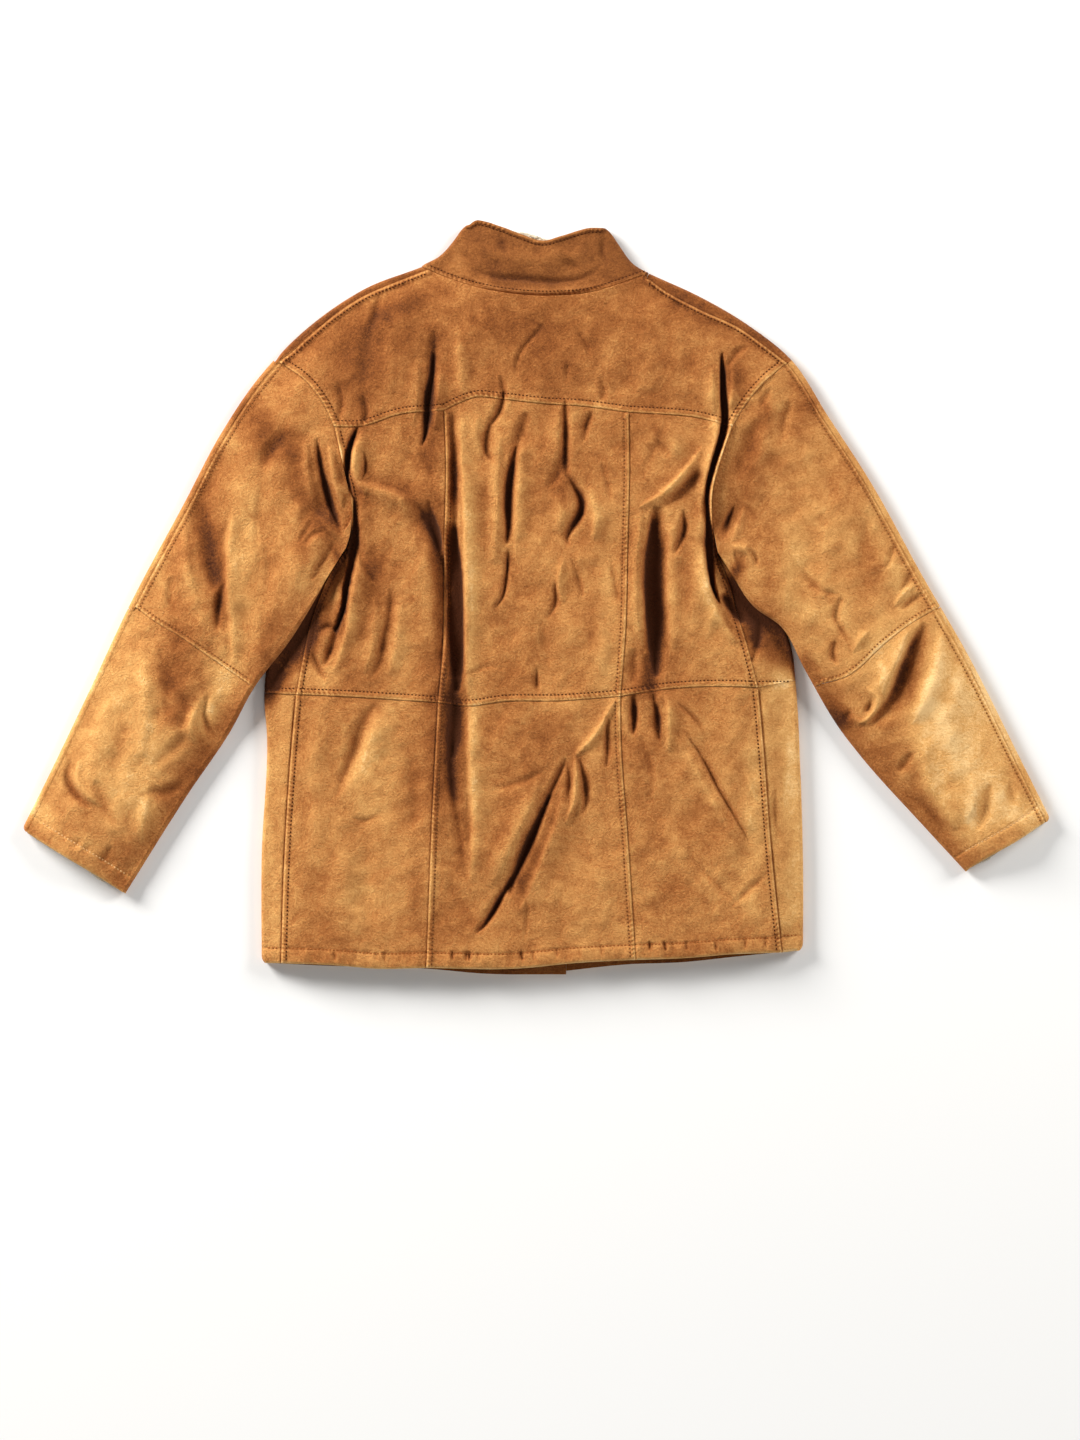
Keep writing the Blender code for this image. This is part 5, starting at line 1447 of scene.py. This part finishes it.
def narrow_lap(distance, along):
    """A lapped edge with a narrower, flatter band, along the elbow and the outer seam."""
    height, tone = lapped(distance, along, SLEEVE_BAND)
    return height * 0.55, tone * 0.9


SLEEVE_THREAD = thread_finish("tan thread", (0.15, 0.050, 0.012), (0.36, 0.14, 0.04))
CUFF_THREAD = thread_finish("pale thread", (0.50, 0.24, 0.08), (0.85, 0.55, 0.26))
# painted light: the front halves, seen as the rim along each outer edge, are made paler, the right
# far more than the left
SLEEVE_FRONT_PAINTED_LIGHT = {"left": 0.02, "right": 0.22}  # the front halves are paler than the back ones
for side in SIDES:
    outer_name, inner_name = f"outer outline {side}", f"inner outline {side}"
    armhole = join(LINE[f"armhole {side} lower"], LINE[f"armhole {side} upper"])[::-1]
    elbow, cuff = LINE[f"elbow {side}"], LINE[f"cuff {side}"]
    for half, high, low in (("upper", armhole, elbow), ("lower", elbow, cuff)):
        ends = {}
        for name in (outer_name, inner_name):
            tip = 0 if name == outer_name else -1
            ends[name] = (share_at(FOLD_LINE[name], low[tip]), share_at(FOLD_LINE[name], high[tip]))
        part = abs(ends[outer_name][1] - ends[outer_name][0])
        v = spaced(lengths(FOLD_LINE[outer_name])[-1] * part, band=24 if half == "lower" else 9)

        def stretch(name, by):
            """The part of a fold line beside this piece, moved inwards, at the shares v."""
            first, last = ends[name]
            fold, shifted = FOLD_LINE[name], inwards(name, FOLD_LINE[name], by)
            far = lengths(fold) / lengths(fold)[-1]
            t = first + (last - first) * v
            return np.stack([np.interp(t, far, shifted[:, k]) for k in (0, 1)], axis=1)

        fold_in, fold_out = stretch(inner_name, 0), stretch(outer_name, 0)
        seam = stretch(outer_name, OUTER_SEAM_IN)
        high_line, low_line = high.copy(), low.copy()
        high_line[0], high_line[-1] = seam[-1], fold_in[-1]
        low_line[0], low_line[-1] = seam[0], fold_in[0]
        seams = ("low", "high") if half == "upper" else ("high",)
        u = spaced((lengths(low_line)[-1] + lengths(high_line)[-1]) / 2)
        over = drawn_in(patch(low_line, high_line, seam, fold_in, u, v), (*seams, "left"))
        # below the elbow the left sleeve's outer seam rolls under, but for its first few
        # centimetres and its end at the cuff: its lap and stitching are left out all the way
        rolled = (half, side) == ("lower", "left")
        edges = [(high_line, tucked), (low_line, narrow_lap if half == "upper" else cuffed)]
        if not rolled:
            edges.append((seam, narrow_lap))

        def back_height(points, edges=edges, side=side):
            """Height of the back half's upper face, with its finished edges."""
            return sleeve_top(side, points) + finished(edges, points)[0]

        added = finished(edges, over)
        z = sleeve_top(side, over) + added[0]
        over_tone = sleeve_tone(side, over) + added[1]
        inside = stretch(inner_name, TURN)
        inside = inside + (over[:, -1] - fold_in)

        def lies_at(points, side=side):
            """Height of the sleeve's lower face."""
            return lap_height(side, points)

        arc_outer, arc_inner = turned(over[:, -1], inside, lies_at)
        rise = (z[:, -1] - EDGE_TOP - lies_at(over[:, -1]))[:, None] * TURN_SWELL
        arc_outer[..., 2] += rise
        arc_inner[..., 2] += rise
        arc_outer[:, 0, :2] += (arc_outer[:, 1, :2] - arc_outer[:, 0, :2]) * 0.3
        outer = np.concatenate([np.dstack([over, z]), arc_outer[:, -2::-1]], axis=1)
        inner = np.concatenate([np.dstack([over, z - WALL]), arc_inner[:, -2::-1]], axis=1)
        tone = np.concatenate([over_tone, np.tile(over_tone[:, -1:], (1, TURN_STEPS))], axis=1)
        name = f"sleeve_back_{half}_{side}"
        back = cloth(f"{name}_cloth", [(outer, inner, tone)], [SUEDE, FLEECE, SUEDE])
        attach(back, "root")
        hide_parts(name)
        inwards_sign = 1 if side == "left" else -1
        band, trim = (SLEEVE_BAND, 8) if half == "upper" else (CUFF_BAND, 9)
        rows = [] if rolled else [seam_row(seam, -SLEEVE_BAND * inwards_sign, back_height)]
        end_row = seam_row(low, band * inwards_sign, back_height, trim=trim)
        if half == "upper":
            rows.append(end_row)
        sewn = [stitches(f"{name}_stitching", rows, SLEEVE_THREAD)] if rows else []
        for piece in sewn:
            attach(piece, "root")
        fleece = []
        if half == "lower":
            cuff_stitching = stitches(f"cuff_stitching_{side}", [end_row], CUFF_THREAD)
            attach(cuff_stitching, "root")
            # the pile shows at the cuff's opening, most of it at the left one's inner end
            bare = low[12:-8] + np.array([0.6, 1.0]) * -inwards_sign * [1, -inwards_sign] * 0.5
            fleece = [pile(f"cuff_fleece_{side}", bare, (-0.5 * inwards_sign, -0.9), EDGE_TOP / 2,
                           lambda t: 1.2 + 2.2 * np.exp(-(((t - 0.78) / 0.1) ** 2)), 260, 21),
                      cuff_stitching]

        # the front half
        high_line[0], low_line[0] = fold_out[-1], fold_out[0]
        uf = np.linspace(0, 1, 30)
        under = drawn_in(patch(low_line, high_line, fold_out, fold_in, uf, v), (*seams, "right"))
        edge = seam + under[:, 0] - fold_out
        piece_length = (FAR_FROM_CUFF if half == "upper"
                        else lengths(FOLD_LINE[outer_name])[-1] / 2)
        arc_outer, arc_inner = turned(under[:, 0], edge, lies_at, reach=corner(v * piece_length))
        out = under[:, 0] - edge
        end = edge + out / np.linalg.norm(out, axis=1)[:, None] * HALF_SEAM
        strip = strip_over(under[:, 0], end, 2)
        added = finished([(seam, tucked)], strip)
        strip_z = sleeve_top(side, strip) + added[0]
        rise = (sleeve_top(side, under[:, :1]) - EDGE_TOP - lies_at(under[:, :1])) * TURN_SWELL
        arc_outer[..., 2] += rise
        arc_inner[..., 2] += rise
        floor_z = lies_at(under[:, ::-1])
        outer = np.concatenate([np.dstack([under[:, ::-1], floor_z]), arc_outer[:, 1:],
                                np.dstack([strip, strip_z])], axis=1)
        inner = np.concatenate([np.dstack([under[:, ::-1], floor_z + WALL]), arc_inner[:, 1:],
                                np.dstack([strip, strip_z - WALL])], axis=1)
        # painted light makes the front half paler
        tone = sleeve_tone(side, outer[..., :2]) + SLEEVE_FRONT_PAINTED_LIGHT[side]
        tone[:, -strip.shape[1]:] += (0 if rolled else 0.5) * added[1]
        name = f"sleeve_front_{half}_{side}"
        front = cloth(f"{name}_cloth", [(outer, inner, tone)], [SUEDE, FLEECE, SUEDE])
        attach(front, "root")
        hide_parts(name)

# ---------------------------------------------------------------------------------------------
# The collar: a standing band folded flat, of the same cloth, coloured a little darker. Its back
# lies on top with a soft crease along it, it turns down round both ends, and its front halves lie
# underneath. A thin fleece lines it, and its pile shows along the upper edge.

LINE.update({name: curve(points) for name, points in {
    "collar top": [(-78, 419), (-69, 422), (-46, 417), (-14, 405), (6, 399), (29, 405), (61, 414),
                   (76, 415)],
    "collar side left": [(-127, 373), (-110, 382), (-94, 399), (-80, 420)],
    "collar side right": [(126, 363), (108, 374), (93, 394), (78, 417)],
}.items()})
COLLAR_SIDES = [f"collar side {side}" for side in SIDES]
FOLD_LINE.update({name: inwards(name, LINE[name], TURN) for name in COLLAR_SIDES})
COLLAR_LOFT = 6.0
COLLAR_BAND = 5.0
COLLAR_TONE = -0.08
FRONT_TOP_Y = 393.0  # the collar's front halves reach up to here at the front edges
COLLAR_FOLDS = [
    ([(-83, 375), (-52, 359), (-19, 356), (22, 353), (53, 357), (71, 368)], -4, 5, 3),
    ([(-86, 363), (-52, 347), (-8, 342), (37, 343), (82, 352)], 4, 4, 4),
    ([(-75, 393), (-19, 379), (60, 384)], 2.4, 9, 9),
    ([(-41, 408), (-38, 393), (-32, 379)], -2, 4, 4),
    ([(78, 406), (73, 388), (80, 370)], -3, 5, 4),
    ([(26, 386), (33, 375), (48, 368)], -2, 4, 4),
    ([(-92, 388), (-75, 379), (-66, 368)], -2.4, 4, 4),
    ([(9, 393), (26, 379), (22, 366)], 1.8, 8, 8),
]
COLLAR_SUEDE = finish("suede collar", [(0.050, 0.012, 0.002), (0.165, 0.048, 0.009),
                                       (0.245, 0.078, 0.016), (0.315, 0.107, 0.024),
                                       (0.395, 0.148, 0.037), (0.520, 0.220, 0.062),
                                       (0.700, 0.350, 0.115)], 0.8, 0.04)


def collar_top(points):
    """Height of the collar's upper face."""
    flat = points.reshape(-1, 2)
    ends = [f"{kind} {side}" for kind in ("collar side", "outer outline") for side in SIDES]
    from_edge = edge_distance(ends, flat)
    uneven = waves(flat, 40, 8, 1.2) + waves(flat, 16, 9, 0.4)
    height = (EDGE_TOP + loft(COLLAR_LOFT, from_edge) + relief(COLLAR_FOLDS, flat, from_edge)
              + uneven * (1 - np.exp(-from_edge / 12)))
    return height.reshape(points.shape[:-1])


def collar_edge(distance, along):
    """The collar's folded edges, upper and lower, each with its row of stitching."""
    return lapped(distance, along, COLLAR_BAND)


collar_ends = {}
v = spaced(70, coarse=2.2)
for side, tip in (("left", 0), ("right", -1)):
    fold = FOLD_LINE[f"collar side {side}"]
    base = FOLD_LINE[f"outer outline {side}"]
    start = places(base, share_at(base, shoulder[side][-1]))
    first, last = share_at(fold, start), share_at(fold, LINE["collar top"][tip])
    collar_ends[side] = places(fold, first + (last - first) * v)
    collar_ends[side][0] = start
collar_low = join(collar_ends["left"][:1], np.concatenate([collar_ends["left"][:1], neck,
                                                           collar_ends["right"][:1]]))
collar_low = collar_low[np.append(True, np.diff(lengths(collar_low)) > 0.01)]
collar_high = curve([collar_ends["left"][-1], *LINE["collar top"][10:-8:12],
                     collar_ends["right"][-1]])
u = spaced(250)
over = drawn_in(patch(collar_low, collar_high, collar_ends["left"], collar_ends["right"], u, v),
                ("low",))
edges = [(collar_high, collar_edge), (collar_low, collar_edge)]


def collar_height(points):
    """Height of the collar's upper face, with its finished edges."""
    return collar_top(points) + finished(edges, points)[0]


collar_depth = hollows(collar_top, (-140, 320), (140, 440))
z = collar_height(over)
# painted shade in the collar's hollows and painted highlight on its ridges
over_tone = hollow_shade_ridge_light(collar_depth(over)) + finished(edges, over)[1] + COLLAR_TONE
sheets = [over_sheet(over, z, over_tone)]
for side, column, neck_end in (("left", 0, neck[0]), ("right", -1, neck[-1])):
    fold = over[:, column]
    inside = inwards(f"collar side {side}", fold, TURN)
    inside[0] = neck_end
    arc_outer, arc_inner = turned(fold, inside, ground)
    rounding = np.sqrt(1 - np.clip((v - 0.78) / 0.22, 0, 1) ** 2)[:, None, None]
    for arc in (arc_outer, arc_inner):
        arc[..., :2] = fold[:, None] + (arc[..., :2] - fold[:, None]) * rounding
    rise = (z[:, column] - EDGE_TOP)[:, None] * TURN_SWELL
    arc_outer[..., 2] += rise
    arc_inner[..., 2] += rise
    arc_tone = np.tile(over_tone[:, column, None], (1, TURN_STEPS + 1))
    front_top = np.array([fold[-1], (FRONT_EDGE_X, FRONT_TOP_Y)])
    between = (NECK_FRONT[0] * fold[0][0], FRONT_NECK_Y + NECK_FRONT[1])
    front_low = curve([fold[0], between, (FRONT_EDGE_X, FRONT_NECK_Y)])
    closing = np.array([front_low[-1], front_top[-1]])
    under = drawn_in(patch(front_low, front_top, fold, closing, np.linspace(0, 1, 24), v),
                     ("low", "right"))
    under[:, 0] = fold
    if side == "left":
        sheets.append((arc_outer[:, ::-1], arc_inner[:, ::-1], arc_tone))
    else:
        sheets.append((arc_outer, arc_inner, arc_tone))
    sheets.append((np.dstack([under, ground(under)]), np.dstack([under, ground(under) + WALL]),
                   np.zeros(under.shape[:2])))
collar = cloth("collar_cloth", sheets, [COLLAR_SUEDE, FLEECE, COLLAR_SUEDE])
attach(collar, "root")
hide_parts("collar")
rows = [seam_row(collar_high, -COLLAR_BAND, collar_height),
        seam_row(collar_low, COLLAR_BAND, collar_height)]
collar_stitching = stitches("collar_stitching", rows, THREAD_FINISH)
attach(collar_stitching, "root")

# The lining here is wider than its solid.
LINING_GAP, FLEECE_WALL = 0.3, 1.6
lining_grid = over[4:, 8:-8]
level = collar_top(lining_grid)
z = np.minimum(level + finished(edges, lining_grid)[0], level - 0.8) - WALL - LINING_GAP
shows = 3.4 * np.exp(-(((lining_grid[-1, :, 0] + 4) / 17) ** 2)) - 0.6
past = lining_grid[-1:] + np.dstack([0 * shows, shows])
lining_grid = np.concatenate([lining_grid, past], axis=0)
z = np.concatenate([z, z[-1:] - 0.3])
z = z + waves(lining_grid.reshape(-1, 2), 5, 31, 0.35).reshape(z.shape) - 0.35
lining = cloth("collar_lining_cloth", [over_sheet(lining_grid, z, 0 * z, FLEECE_WALL)],
               [FLEECE, FLEECE, FLEECE])
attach(lining, "root")
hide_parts("collar_lining")
lining_top = lining_grid[-1] - [0, 0.8]
collar_pile = pile("collar_fleece", lining_top, (0, 1), float(z[-1].mean()) + 0.8,
                   lambda t: 0.9 + 3.0 * np.exp(-(((t - 0.47) / 0.11) ** 2)), 420, 22)

# ---------------------------------------------------------------------------------------------
# The floor, the studio lights and the camera: a pale floor, a large soft light on each side and
# one beyond the hem, and a long lens straight above.

CAMERA_UP = 6.07
floor_mesh = bpy.data.meshes.new("floor")
floor_mesh.from_pydata([(-6, -6, 0), (6, -6, 0), (6, 6, 0), (-6, 6, 0)], [], [(0, 1, 2, 3)])
floor = bpy.data.objects.new("floor", floor_mesh)
floor.location.z = cad_low.z - 0.0005
paper = bpy.data.materials.new("pale floor")
paper.use_nodes = True
paper.node_tree.nodes["Principled BSDF"].inputs["Base Color"].default_value = (0.90, 0.90, 0.89, 1)
paper.node_tree.nodes["Principled BSDF"].inputs["Roughness"].default_value = 0.95
floor_mesh.materials.append(paper)
bpy.context.scene.collection.objects.link(floor)
floor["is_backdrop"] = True

LIGHTS = [
    # place, size across and along, watts
    ((-3.2, 2.4, 1.6), (1.8, 1.8), 350),
    ((3.3, 2.0, 1.9), (1.8, 1.8), 150),
    ((0.0, -3.4, 2.2), (2.4, 1.0), 34),
]
for number, (place, (across, up), watts) in enumerate(LIGHTS):
    lamp = bpy.data.lights.new(f"softbox {number + 1}", "AREA")
    lamp.shape = "RECTANGLE"
    lamp.size, lamp.size_y, lamp.energy = across, up, watts
    lamp.color = (1.0, 0.985, 0.965)
    stand = bpy.data.objects.new(lamp.name, lamp)
    stand.location = place
    aim = np.array([0.0, -0.05, 0.0]) - np.array(place)
    stand.rotation_euler = (math.atan2(math.hypot(aim[0], aim[1]), -aim[2]), 0,
                            math.atan2(aim[1], aim[0]) - math.pi / 2)
    bpy.context.scene.collection.objects.link(stand)

world = bpy.data.worlds.new("studio")
world.use_nodes = True
world.node_tree.nodes["Background"].inputs["Color"].default_value = (1.0, 1.0, 1.0, 1)
world.node_tree.nodes["Background"].inputs["Strength"].default_value = 0.17
bpy.context.scene.world = world
bpy.context.scene.view_settings.view_transform = "Standard"

camera = bpy.data.objects.new("camera", bpy.data.cameras.new("camera"))
camera.data.lens = 135
camera.data.sensor_width = 36
camera.data.clip_end = 50
camera.location = (0.0036, -0.1383, CAMERA_UP)
camera.rotation_euler = (0, 0, 0)
bpy.context.scene.collection.objects.link(camera)
bpy.context.scene.camera = camera

low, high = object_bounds()
